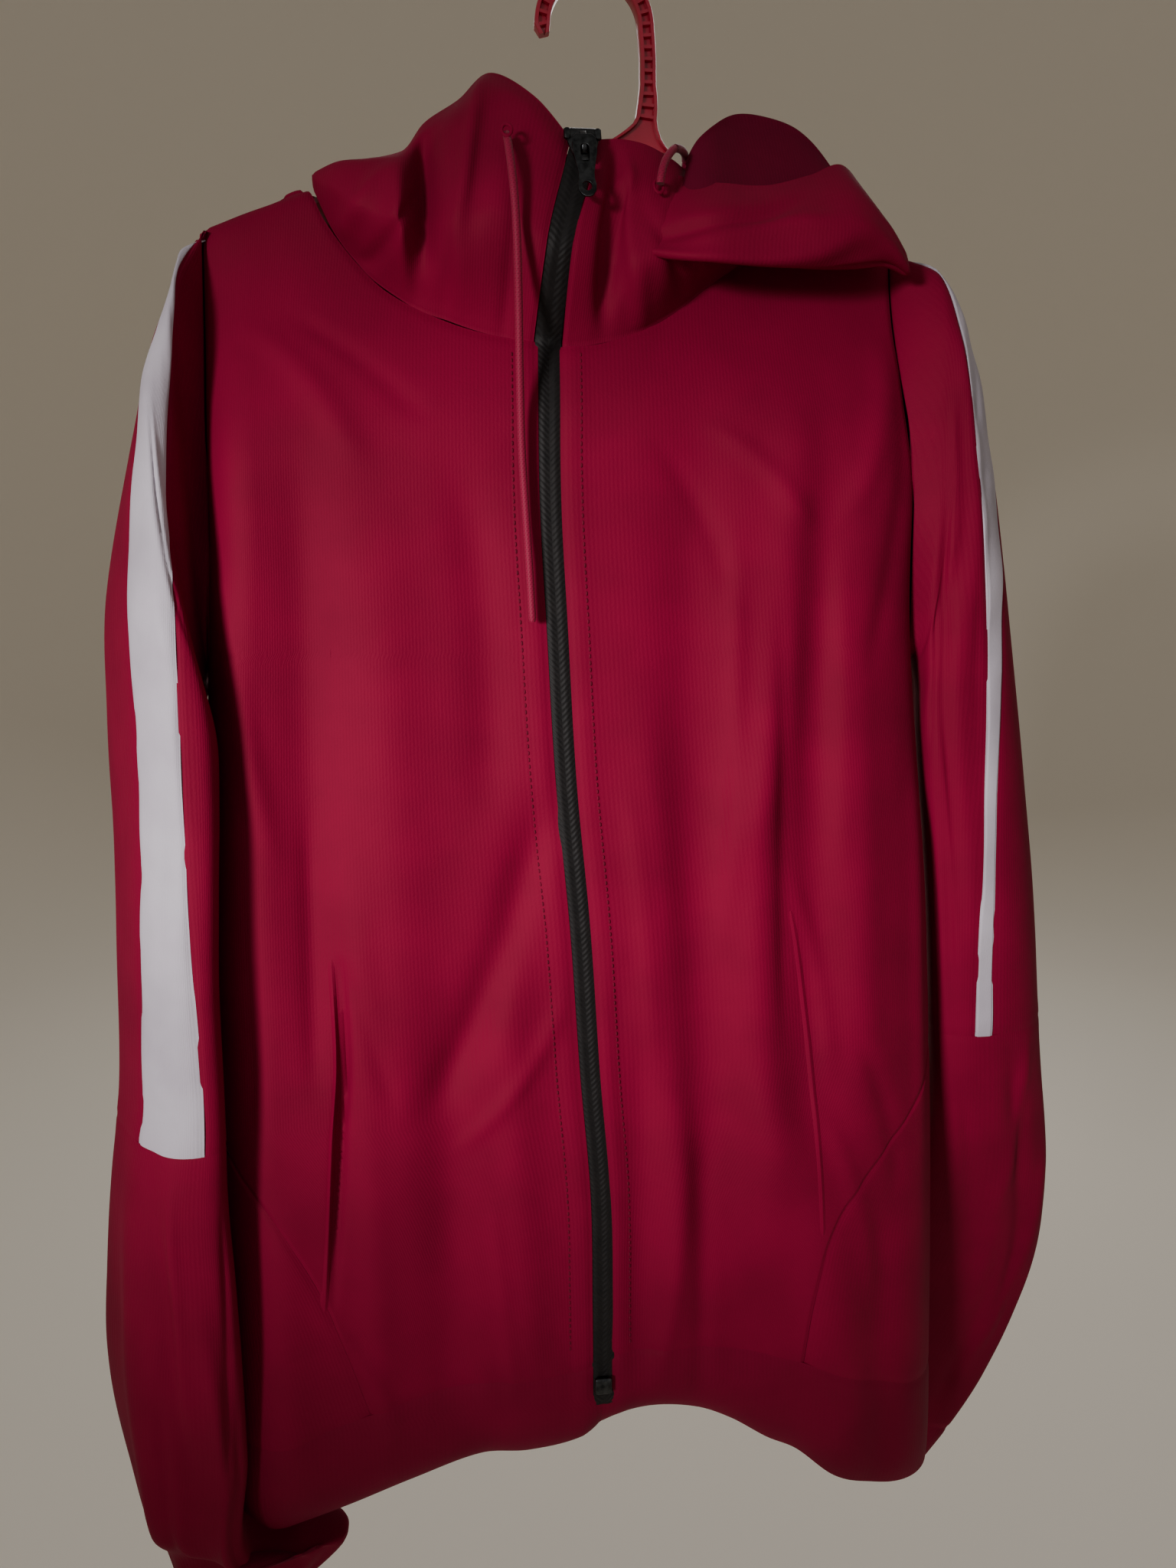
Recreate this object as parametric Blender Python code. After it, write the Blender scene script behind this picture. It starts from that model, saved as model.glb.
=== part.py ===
"""A zip hoodie of smooth tricot, hanging on a moulded plastic hanger.

Frame: +X is the wearer's left, +Y runs back towards the wall, +Z is up. The origin is the
inside of the hanger's hook, where a rail would carry it. Sizes below are millimetres, and
"down" is the drop below the origin. Every cloth piece is a wall through rings or sections,
with SEAM_GAP of air where two pieces are sewn together.
"""

import functools
import math

import bmesh
import bpy
from mathutils import Vector

MM = 0.001
CLOTH = 1.6  # one layer of brushed tricot
STRIPE = 1.1  # the thinner white tricot let into the sleeves
RIB = 2.4  # cuffs and hem band, folded double
SEAM_GAP = 0.3
HALF_GAP = SEAM_GAP / 2
CURVED_GAP = 0.8  # each side of a curved seam, whose facets bow a little
PROBE = 0.004  # share of a piece, for reading its normals

# Hanger
HOOK_RADIUS = 26.5  # to the middle of the bar
HOOK_BAR = 8.0
HOOK_TIP_DROP = 4.0  # straight end below the half circle
ARM_HALF_HEIGHT = 10.0
ARM_HALF_DEPTH = 6.0
ARM_END_RIGHT = -184.0
ARM_END_LEFT = 149.0
ARM_UNDER_CLOTH = 4.4

# Body
SHOULDER_ROUND = 14.0
SHOULDER_DEPTH = 9.5
CHEST_DROP = 140.0  # where the cloth has come fully forward from the hanger

# Zip
TAPE_WIDTH = 6.0  # each side of the zip that shows
TAPE_THICK = 1.2
ZIP_TOP = 88.0
ZIP_FOOT = 748.0
ZIP_NECK = 181.0  # where it crosses the neck seam
PULL_LENGTH = 30.0

# Drawcord
CORD_WIDTH = 3.8

RED = (0.155, 0.0035, 0.017, 1)
DEEP_RED = (0.115, 0.003, 0.013, 1)
WHITE = (0.68, 0.66, 0.72, 1)
BLACK = (0.012, 0.010, 0.012, 1)
PLASTIC_RED = (0.30, 0.008, 0.012, 1)
STEEL = (0.55, 0.54, 0.53, 1)


# ---------------------------------------------------------------- tables and curves

def smooth_step(x):
    """0 below 0, 1 above 1, and an S between."""
    x = min(max(x, 0.0), 1.0)
    return x * x * (3 - 2 * x)


def round_over(x):
    """A quarter of an ellipse: starts steep at 0 and is level from 1 on."""
    x = min(max(x, 0.0), 1.0)
    return math.sqrt(max(0.0, 1 - (1 - x) ** 2))


def hermite(a, b, slope_a, slope_b, t):
    """A cubic between two values, with slopes per whole step."""
    return (
        (2 * t**3 - 3 * t**2 + 1) * a
        + (t**3 - 2 * t**2 + t) * slope_a
        + (-2 * t**3 + 3 * t**2) * b
        + (t**3 - t**2) * slope_b
    )


class Table:
    """Rows of named columns, read smoothly at any place along the first column."""

    def __init__(self, names, rows):
        self.names = names.split()
        self.rows = rows

    def slope(self, index, column):
        low = self.rows[max(index - 1, 0)]
        high = self.rows[min(index + 1, len(self.rows) - 1)]
        return (high[column] - low[column]) / (high[0] - low[0])

    def at(self, name, place):
        column = self.names.index(name)
        place = min(max(place, self.rows[0][0]), self.rows[-1][0])
        index = 0
        while index < len(self.rows) - 2 and self.rows[index + 1][0] < place:
            index += 1
        start, end = self.rows[index], self.rows[index + 1]
        step = end[0] - start[0]
        return hermite(
            start[column],
            end[column],
            self.slope(index, column) * step,
            self.slope(index + 1, column) * step,
            (place - start[0]) / step,
        )


def along(points, t):
    """The point at t, 0 to 1, on a smooth curve through evenly counted points."""
    last = len(points) - 1
    index = min(int(t * last), last - 1)
    before = points[max(index - 1, 0)]
    a, b = points[index], points[index + 1]
    after = points[min(index + 2, last)]
    f = t * last - index
    return tuple(
        hermite(a[k], b[k], (b[k] - before[k]) / 2, (after[k] - a[k]) / 2, f) for k in range(3)
    )


def place(x, down, y):
    """A point in metres from the object's own millimetres."""
    return Vector((x, y, -down)) * MM


# ---------------------------------------------------------------- walls and solids

def material(name, colour, roughness=0.7, metallic=0.0):
    made = bpy.data.materials.get(name)
    if made is None:
        made = bpy.data.materials.new(name)
        made.use_nodes = True
        shader = made.node_tree.nodes["Principled BSDF"]
        shader.inputs["Base Color"].default_value = colour
        shader.inputs["Roughness"].default_value = roughness
        shader.inputs["Metallic"].default_value = metallic
    return made


def add_object(name, mesh_builder, finish, origin=None):
    """Turns a bmesh into a named object, with its origin where the piece turns."""
    mesh = bpy.data.meshes.new(name)
    if origin is not None:
        bmesh.ops.translate(mesh_builder, verts=mesh_builder.verts, vec=-origin)
    mesh_builder.to_mesh(mesh)
    mesh_builder.free()
    mesh.shade_smooth()
    mesh.set_sharp_from_angle(angle=math.radians(50))
    mesh.materials.append(finish)
    made = bpy.data.objects.new(name, mesh)
    if origin is not None:
        made.location = origin
    bpy.context.scene.collection.objects.link(made)
    return made


def wall(name, grid, normals, thick, finish, closed=False):
    """A closed wall: the grid is its outer face, and the inner face lies `thick` inside it.

    The normals point away from the wall's inside. A closed grid is a tube with open ends.
    """
    rows, columns = len(grid), len(grid[0])
    made = bmesh.new()
    outer = [[made.verts.new(p) for p in line] for line in grid]
    inner = [
        [made.verts.new(grid[i][j] - normals[i][j] * thick * MM) for j in range(columns)]
        for i in range(rows)
    ]
    spans = columns if closed else columns - 1
    for i in range(rows - 1):
        for j in range(spans):
            k = (j + 1) % columns
            made.faces.new((outer[i][j], outer[i][k], outer[i + 1][k], outer[i + 1][j]))
            made.faces.new((inner[i][j], inner[i + 1][j], inner[i + 1][k], inner[i][k]))
    for i, way in ((0, 1), (rows - 1, -1)):
        for j in range(spans):
            k = (j + 1) % columns
            rim = (outer[i][j], inner[i][j], inner[i][k], outer[i][k])
            made.faces.new(rim[::way])
    if not closed:
        for j, way in ((0, -1), (columns - 1, 1)):
            for i in range(rows - 1):
                rim = (outer[i][j], inner[i][j], inner[i + 1][j], outer[i + 1][j])
                made.faces.new(rim[::way])
    bmesh.ops.recalc_face_normals(made, faces=made.faces)
    return add_object(name, made, finish)


def sheet_wall(name, point, columns, rows, thick, finish, outside, closed=False, reach=None):
    """A wall whose outer face is point(across, share), both from 0 to 1.

    `outside` is +1 or -1, the side of that face which shows. The normals are read from the
    form a little past each point, so that two pieces keep their gap along a shared seam.
    `reach` gives how far past, in shares of the piece across, where that has to be wider.
    """
    steps = columns if closed else columns - 1
    grid, normals = [], []
    for row in range(rows):
        share = row / (rows - 1)
        line, leans = [], []
        for column in range(columns):
            across = column / steps
            probe = reach(share) if reach else PROBE
            side = point(across + probe, share) - point(across - probe, share)
            fall = point(across, share + PROBE) - point(across, share - PROBE)
            line.append(point(across, share))
            leans.append(side.cross(fall).normalized() * outside)
        grid.append(line)
        normals.append(leans)
    return wall(name, grid, normals, thick, finish, closed)


def bar(name, sections, sides, finish, power=2.0, origin=None):
    """A solid rod of super-elliptical sections: (centre, half_a, half_b, along_a, along_b)."""
    made = bmesh.new()
    rings = []
    for centre, half_a, half_b, along_a, along_b in sections:
        ring = []
        for k in range(sides):
            turn = 2 * math.pi * k / sides
            ring.append(
                made.verts.new(
                    centre
                    + along_a * half_a * MM * rounded(math.cos(turn), power)
                    + along_b * half_b * MM * rounded(math.sin(turn), power)
                )
            )
        rings.append(ring)
    for a, b in zip(rings, rings[1:]):
        for k in range(sides):
            n = (k + 1) % sides
            made.faces.new((a[k], a[n], b[n], b[k]))
    made.faces.new(rings[0])
    made.faces.new(rings[-1])
    bmesh.ops.recalc_face_normals(made, faces=made.faces)
    return add_object(name, made, finish, origin)


def rounded(value, power):
    """A cosine or sine bent so that a ring turns from round towards square."""
    return math.copysign(abs(value) ** (2 / power), value)


# ---------------------------------------------------------------- body form

# The two side folds, the zip and the depth of the body at each drop, and how far in from a
# side fold the front and back curve
BODY = Table(
    "down right_x left_x zip_x front_y side_y back_y right_round left_round",
    [
        (90, -205, 181, -10, -12, -2, 8, 30, 30),
        (125, -205, 182, -19, -20, -3, 11, 30, 30),
        (160, -205, 183, -27, -36, -6, 16, 30, 32),
        (200, -204, 181, -30, -46, -10, 20, 30, 36),
        (260, -203, 173, -31, -51, -13, 22, 30, 44),
        (320, -207, 172, -29, -54, -15, 20, 30, 52),
        (400, -213, 180, -26, -58, -14, 18, 32, 60),
        (480, -219, 189.5, -20, -61, -13, 16, 36, 66),
        (560, -222, 195.5, -16, -64, -12, 14, 40, 70),
        (630, -225, 199.5, -11.5, -68, -12, 12, 42, 72),
        (700, -228, 202.5, -11.5, -71, -12, 10, 42, 72),
        (770, -230, 204.5, -12, -73, -13, 8, 42, 72),
        (870, -232, 208, -12, -74, -15, 5, 42, 72),
    ],
)

# The line where the cloth turns over the hanger, from the wearer's right to left
SHOULDER = Table(
    "x down",
    [
        (-206, 125),
        (-185, 117),
        (-166, 110),
        (-147, 103),
        (-100, 91),
        (0, 81),
        (90, 95),
        (130, 109),
        (156, 121),
        (184, 139),
    ],
)

# Front neck seam from the right shoulder to the zip, and from the zip to the left shoulder
NECK_RIGHT = Table(
    "x down",
    [(-206, 125), (-185, 117), (-166, 110), (-147, 103.5), (-139, 119), (-127, 136), (-110, 154),
     (-84, 168.5), (-59, 177), (-26, 182)],
)
NECK_LEFT = Table(
    "x down",
    [(-31, 183), (-14, 183), (2, 180), (25, 171), (40, 161.5), (56, 149), (84, 130), (112, 113),
     (130, 109.5), (156, 121), (184, 139)],
)
NECK_BACK = Table(
    "x down",
    [(-206, 125), (-185, 117), (-166, 110), (-147, 103.5), (-120, 112), (-60, 121), (0, 123),
     (60, 121), (112, 114), (130, 109.5), (156, 121), (184, 139)],
)

# Where each sleeve is sewn in, as the x of the seam
ARMHOLE_RIGHT = Table("down x", [(110, -197), (160, -199), (220, -200), (290, -202.5), (338, -205.4)])
ARMHOLE_LEFT = Table("down x", [(110, 156), (160, 157), (200, 159), (240, 164), (290, 168), (338, 171.6)])
ARMHOLE_FOOT = 334.0
ARMHOLE_TOP = 124.0
ARMHOLE_LEAST = 9.0  # half depth kept at its top and foot
ARMHOLE_GAP = 1.5

# Curved seams from the side folds down to the hem band
SIDE_SEAM_RIGHT = Table(
    "down x",
    [(570, -232), (601, -208), (625, -189), (651, -174), (679, -162), (706, -153), (730, -146),
     (770, -135), (800, -128)],
)
SIDE_SEAM_LEFT = Table(
    "down x",
    [(556, 196.5), (572, 188.5), (586, 181), (600, 172), (628, 145), (651, 127), (668, 118), (683, 114),
     (716, 108), (774, 102), (820, 98)],
)

# Lower edge of the fronts and the height of the hem band on them
HEM_FRONT = Table(
    "x down band",
    [(-232, 820, 58), (-212, 823, 60), (-201, 826, 63), (-180, 821, 61), (-155, 813.5, 61.5),
     (-120, 801.5, 60), (-81, 790, 54), (-54, 791.5, 55.5), (-24, 787, 53.5), (-7, 776, 49), (17, 771, 45),
     (45, 775, 48), (66, 785, 55), (88, 800.5, 63.5), (106, 810.5, 67.5), (130, 832, 77),
     (156, 842.5, 76.5), (182, 851, 75), (209, 858, 76)],
)
HEM_TUCK = 13.0  # how far back its lower edge curls
HEM_BACK = Table(
    "x down band",
    [(-232, 820, 54), (-150, 812, 52), (-60, 806, 50), (20, 806, 52), (100, 826, 62), (209, 858, 78)],
)

# Soft folds of the fronts and back: a ridge of `height` (a trough where negative) that runs
# from one point to another and fades out at both ends; `bow` bends it sideways at mid-length
FRONT_FOLDS = [
    # x0, down0, x1, down1, bow, width, height
    (98, 225, 76, 420, 6, 14, 5.0),
    (76, 400, 86, 640, -4, 15, 6.0),
    (90, 590, 122, 740, 6, 17, 4.5),
    (106, 250, 108, 560, 0, 15, -5.0),
    (44, 235, 50, 640, -6, 19, -5.0),
    (168, 250, 186, 700, 0, 9, 3.0),
    (20, 400, 32, 690, 2, 12, 3.5),
    (128, 330, 140, 560, 0, 12, 2.5),
    (-152, 250, -158, 520, 0, 14, -4.5),
    (-188, 200, -190, 460, 0, 14, 3.0),
    (-72, 260, -66, 400, 4, 12, -3.0),
    (-44, 430, -92, 560, 4, 11, -5.0),
    (-92, 540, -96, 740, 0, 15, -4.0),
    (-118, 300, -120, 640, 4, 20, 4.0),
    (-60, 500, -52, 730, 0, 12, 3.0),
    (-136, 480, -134, 740, 0, 10, 2.5),
    (12, 560, 10, 720, 0, 12, -4.0),
    (-180, 640, -186, 790, 0, 12, 3.0),
    (150, 660, 158, 820, 0, 14, -4.0),
]
BACK_FOLDS = [
    (-150, 300, -156, 700, 0, 18, -4.0),
    (-90, 200, -80, 640, 6, 22, 4.0),
    (-20, 330, -12, 760, -4, 20, -4.5),
    (60, 240, 52, 600, 0, 22, 4.0),
    (110, 340, 122, 780, 6, 18, -4.0),
    (0, 150, 4, 330, 0, 26, 3.0),
]


def fold_offset(folds, x, down):
    """How far the cloth stands out at a point, summed over its folds."""
    total = 0.0
    for x0, down0, x1, down1, bow, width, height in folds:
        run = (down - down0) / (down1 - down0)
        if not -0.25 < run < 1.25:
            continue
        middle = x0 + (x1 - x0) * run + bow * 4 * run * (1 - run)
        fade = smooth_step((run + 0.25) / 0.4) * smooth_step((1.25 - run) / 0.4)
        total += height * fade * math.exp(-(((x - middle) / width) ** 2))
    return total


def from_side(x, down):
    """0 at the nearer side fold, rising to 1 where the cloth is flat again."""
    from_right = (x - BODY.at("right_x", down)) / BODY.at("right_round", down)
    from_left = (BODY.at("left_x", down) - x) / BODY.at("left_round", down)
    return round_over(min(from_right, from_left))


def front_y(x, down):
    """The outer face of the fronts, as a height field over x and down."""
    flat = from_side(x, down)
    side = BODY.at("side_y", down)
    hanging = side + (BODY.at("front_y", down) - side) * flat
    hanging -= fold_offset(FRONT_FOLDS, x, down) * flat
    below = down - SHOULDER.at("down", x)
    on_hanger = -0.45 - SHOULDER_DEPTH * round_over(below / SHOULDER_ROUND) * max(flat, 0.35)
    share = smooth_step(below / CHEST_DROP)
    return on_hanger + (hanging - on_hanger) * share


def back_y(x, down):
    """The outer face of the back, the same way."""
    flat = from_side(x, down)
    side = BODY.at("side_y", down)
    hanging = side + (BODY.at("back_y", down) - side) * flat
    hanging += fold_offset(BACK_FOLDS, x, down) * flat
    below = down - SHOULDER.at("down", x)
    on_hanger = 0.45 + SHOULDER_DEPTH * round_over(below / SHOULDER_ROUND) * max(flat, 0.35)
    share = smooth_step(below / CHEST_DROP)
    return on_hanger + (hanging - on_hanger) * share


def right_edge(down):
    """The outer edge of the right front: armhole, side fold, then the curved seam."""
    edge = BODY.at("right_x", down) + HALF_GAP
    if down < ARMHOLE_FOOT:
        edge = max(edge, ARMHOLE_RIGHT.at("x", down))
    if down > SIDE_SEAM_RIGHT.rows[0][0]:
        edge = max(edge, SIDE_SEAM_RIGHT.at("x", down) + CURVED_GAP)
    return edge


def left_edge(down):
    edge = BODY.at("left_x", down) - HALF_GAP
    if down < ARMHOLE_FOOT:
        edge = min(edge, ARMHOLE_LEFT.at("x", down))
    if down > SIDE_SEAM_LEFT.rows[0][0]:
        edge = min(edge, SIDE_SEAM_LEFT.at("x", down) - CURVED_GAP)
    return edge


def hem_seam(x):
    return HEM_FRONT.at("down", x) - HEM_FRONT.at("band", x)


def back_hem_seam(x):
    return HEM_BACK.at("down", x) - HEM_BACK.at("band", x)


def hem_tuck(x, down, share):
    """How far back the front hem band curls, at a share of its height."""
    return HEM_TUCK * max(share, 0.0) ** 4 * from_side(x, down)


def spread(t, edge_share=0.5):
    """Columns drawn closer together towards 0, where the cloth curves round the side."""
    return t * (1 - edge_share) + edge_share * t * t


def row_share(t, near_top=0.06, count=4, rows=34):
    """Rows that start close together under the shoulder and are even below it."""
    index = t * (rows - 1)
    if index < count:
        return near_top * (1 - math.cos(math.pi / 2 * index / count))
    return near_top + (1 - near_top) * (index - count) / (rows - 1 - count)


FRONT_ROWS = 27
BACK_ROWS = 19


def panel_point(outer_edge, inner_edge, top, bottom, face, rows=FRONT_ROWS):
    """A panel between two upright edges, a top line and a bottom line, on a face of the body.

    x is found first from the share across, then again from the drop at that x, because the
    edges lean."""

    def point(across, share):
        down = 150.0 + 600.0 * share
        for _ in range(6):
            start, end = outer_edge(down), inner_edge(down)
            x = start + (end - start) * spread(across)
            low, high = top(x), bottom(x)
            down = low + (high - low) * row_share(share, rows=rows)
        return place(x, down, face(x, down))

    return point


def placket_right(down):
    return BODY.at("zip_x", down) - TAPE_WIDTH - HALF_GAP


def placket_left(down):
    return BODY.at("zip_x", down) + TAPE_WIDTH + HALF_GAP


def make_fronts(cloth):
    sheet_wall(
        "front_right",
        panel_point(
            right_edge, placket_right,
            lambda x: NECK_RIGHT.at("down", x) + HALF_GAP, lambda x: hem_seam(x) - HALF_GAP, front_y,
        ),
        13, FRONT_ROWS, CLOTH, cloth, -1,
    )
    sheet_wall(
        "front_left",
        panel_point(
            left_edge, placket_left,
            lambda x: NECK_LEFT.at("down", x) + HALF_GAP, lambda x: hem_seam(x) - HALF_GAP, front_y,
        ),
        15, FRONT_ROWS, CLOTH, cloth, 1,
    )


def make_side_panels(cloth):
    """The pieces below the curved seams, from the seam to the side fold."""
    for name, edge, seam, start, outside in (
        ("side_right", "right_x", SIDE_SEAM_RIGHT, 600, -1),
        ("side_left", "left_x", SIDE_SEAM_LEFT, 571, 1),
    ):
        inward = 1 if edge == "right_x" else -1

        def point(across, share):
            down = start + 100
            for _ in range(6):
                outer = BODY.at(edge, down) + inward * HALF_GAP
                inner = seam.at("x", down) - inward * CURVED_GAP
                x = outer + (inner - outer) * across
                down = start + (hem_seam(x) - HALF_GAP - start) * share
            return place(x, down, front_y(x, down))

        sheet_wall(name, point, 5, 9, CLOTH, cloth, outside)


def make_back(cloth):
    def back_right(down):
        edge = BODY.at("right_x", down) + HALF_GAP
        return max(edge, ARMHOLE_RIGHT.at("x", down)) if down < ARMHOLE_FOOT else edge

    def back_left(down):
        edge = BODY.at("left_x", down) - HALF_GAP
        return min(edge, ARMHOLE_LEFT.at("x", down)) if down < ARMHOLE_FOOT else edge

    def point(across, share):
        eased = 0.5 - 0.5 * math.cos(math.pi * across)
        eased = across + (eased - across) * 0.55
        down = 150.0 + 600.0 * share
        for _ in range(6):
            x = back_right(down) + (back_left(down) - back_right(down)) * eased
            low = NECK_BACK.at("down", x) + HALF_GAP
            high = back_hem_seam(x) - HALF_GAP
            down = low + (high - low) * row_share(share, rows=BACK_ROWS)
        return place(x, down, back_y(x, down) + SEAM_GAP)

    sheet_wall("back", point, 16, BACK_ROWS, CLOTH, cloth, 1)


def hem_end(placket, side):
    """Where a front's hem ends: beside the tape, and at the middle below the zip."""
    def end(down):
        middle = BODY.at("zip_x", down) + side * HALF_GAP
        return placket(down) + (middle - placket(down)) * smooth_step((down - ZIP_FOOT - 2) / 9)

    return end


def make_hem(rib):
    """The hem band: one piece on each front and one across the back."""

    def band(outer, inner):
        def point(across, share):
            down = 800.0
            for _ in range(6):
                x = outer(down) + (inner(down) - outer(down)) * across
                low = HEM_FRONT.at("down", x) - HEM_FRONT.at("band", x) + CURVED_GAP
                down = low + (HEM_FRONT.at("down", x) - low) * share
            return place(x, down, front_y(x, down) + hem_tuck(x, down, share))

        return point

    right = lambda down: BODY.at("right_x", down) + HALF_GAP
    left = lambda down: BODY.at("left_x", down) - HALF_GAP
    sheet_wall("hem_right", band(right, hem_end(placket_right, -1)), 12, 8, RIB, rib, -1)
    sheet_wall("hem_left", band(left, hem_end(placket_left, 1)), 12, 8, RIB, rib, 1)

    def back_point(across, share):
        down = 800.0
        for _ in range(6):
            x = right(down) + (left(down) - right(down)) * across
            low = back_hem_seam(x) + HALF_GAP
            down = low + (HEM_BACK.at("down", x) - low) * share
        return place(x, down, back_y(x, down) + SEAM_GAP)

    sheet_wall("hem_back", back_point, 14, 3, RIB, rib, 1)


POCKET_RIGHT = Table("down x", [(488, -150), (545, -149.5), (587, -153.5), (640, -158), (682, -162)])
POCKET_LEFT = Table("down x", [(474, 95), (499, 100), (545, 106), (590, 110), (625, 112.5), (663, 114)])
POCKET_EDGE = 5.0
POCKET_LIFT = 2.8  # clear of the panel's facets


def make_pockets(cloth):
    """The stitched edge along each slanted pocket mouth, moved out from its front."""
    for name, mouth in (("pocket_right", POCKET_RIGHT), ("pocket_left", POCKET_LEFT)):
        top, foot = mouth.rows[0][0], mouth.rows[-1][0]
        grid = []
        for row in range(12):
            down = top + (foot - top) * row / 11
            grid.append([])
            for step in (-1, 0, 1):
                x = mouth.at("x", down) + step * POCKET_EDGE / 2
                grid[-1].append(place(x, down, front_y(x, down) - POCKET_LIFT - CLOTH))
        wall(name, grid, [[Vector((0, -1, 0))] * 3 for _ in grid], CLOTH, cloth)


# ---------------------------------------------------------------- sleeves

# Each row is one ring of a sleeve: its outer and inner points in the front view, how far it
# reaches forward and back, and how much further out its back edge stands than its front
SLEEVE_COLUMNS = "ring out_x out_down in_x in_down front_y back_y lean"
SLEEVE_RIGHT = Table(
    SLEEVE_COLUMNS,
    [
        (0, -201, 123.5, -208, 340, -24, 14, 0),
        (1, -208, 138, -209, 343, -38, 16, 1),
        (2, -213, 158, -210, 346, -50, 18, 3),
        (3, -224, 187, -211, 350, -61, 19, 6),
        (4, -236.5, 234, -211.5, 360, -72, 18, 15),
        (5, -247.5, 300, -211, 380, -78, 12, 24),
        (6, -249.5, 360, -212, 410, -82, 3, 25),
        (7, -251.5, 420, -214, 450, -84, -3, 24),
        (8, -254.5, 480, -215, 497, -86, -10, 22),
        (9, -258, 556, -216, 559, -88, -16, 22),
        (10, -266.5, 613, -216.5, 609, -90, -20, 21),
        (11, -272, 664, -216, 660, -91, -23, 22),
        (12, -276.5, 710, -215, 710, -91, -26, 21),
        (13, -275.5, 755, -214, 765, -89, -28, 17),
        (14, -269, 800, -212, 836, -84, -30, 8),
        (14.5, -264, 834, -161, 845, -64, -22, 0),
        (15, -258, 867, -186, 875, -60, -20, 0),
        (16, -250, 896, -196, 902, -58, -18, 0),
    ],
)
SLEEVE_LEFT = Table(
    SLEEVE_COLUMNS,
    [
        (0, 157.5, 123.5, 174, 340, -36, 18, 0),
        (1, 180, 137, 176, 343, -42, 20, 1),
        (2, 193, 155, 178, 346, -44, 23, 3),
        (3, 204, 182, 179.5, 350, -45, 27, 6),
        (4, 219, 230, 182.5, 362, -45, 31, 10),
        (5, 233, 290, 185, 382, -44, 34, 14),
        (6, 245, 350, 189.2, 412, -42, 36, 16),
        (7, 257, 415, 194.7, 450, -39, 38, 16),
        (8, 268, 480, 200, 498, -37, 39, 16),
        (9, 277, 545, 204.5, 550, -32, 40, 15),
        (10, 286, 610, 208, 604, -25, 41, 13),
        (11, 296, 675, 209, 655, -12, 42, 10),
        (12, 299, 742, 199, 700, 1, 43, 6),
        (13, 287, 798, 176, 738, 8, 44, 2),
        (14, 268, 845, 150, 782, 11, 44, 0),
        (15, 246, 884, 132, 828, 11, 43, 0),
        (16, 225, 912, 120, 866, 11, 40, 0),
    ],
)
SLEEVE_SQUARE = 2.7  # 2 is an ellipse
STRIPE_LAST_RING = 9.35
SLEEVE_LAST_RING = 16.0
SLEEVE_FIRST_RING = 0.08
SLEEVE_PROBE = 5.0  # degrees of turn

# Where the stripe lies round each sleeve, in degrees: 180 is the outer edge, 270 the front,
# 360 the inner edge, at a few rings
STRIPE_RIGHT = Table(
    "ring start end",
    [(0, 158, 167), (1, 187, 217), (2, 198, 244), (3, 200, 266), (4, 198, 268), (5, 200, 261),
     (6, 203, 261), (7, 207, 264), (8, 205, 270), (9.6, 200, 275)],
)
STRIPE_LEFT = Table(
    "ring start end",
    [(0, 152, 162), (1, 168, 198), (2, 179, 236), (3, 186, 248), (4, 197, 250), (5, 217, 249),
     (6, 238, 255.5), (7, 255, 265), (8, 263.8, 270.8), (9.6, 269.2, 276.8)],
)
SLEEVE_FOLDS_RIGHT = [
    # ring0, ring1, degrees0, degrees1, width in degrees, height
    (9.5, 15, 222, 286, 14, -4.0),
    (10, 16, 196, 238, 12, 3.0),
    (12, 16, 300, 330, 12, -3.0),
    (3, 9, 120, 130, 16, -3.0),
    (9, 15, 60, 100, 16, -3.0),
]
SLEEVE_FOLDS_LEFT = [
    (2, 9, 288, 296, 15, -5.0),
    (1, 5, 236, 262, 12, 4.0),
    (9.6, 13, 250, 222, 12, -4.0),
    (10, 15, 200, 208, 12, 3.0),
    (3, 10, 110, 120, 16, -3.0),
    (9, 14, 60, 80, 16, -3.0),
]


def sleeve_fold(folds, ring, degrees):
    total = 0.0
    for ring0, ring1, start, end, width, height in folds:
        run = (ring - ring0) / (ring1 - ring0)
        if not -0.15 < run < 1.15:
            continue
        middle = start + (end - start) * run
        fade = smooth_step((run + 0.15) / 0.35) * smooth_step((1.15 - run) / 0.35)
        total += height * fade * math.exp(-(((degrees - middle) / width) ** 2))
    return total


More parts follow.
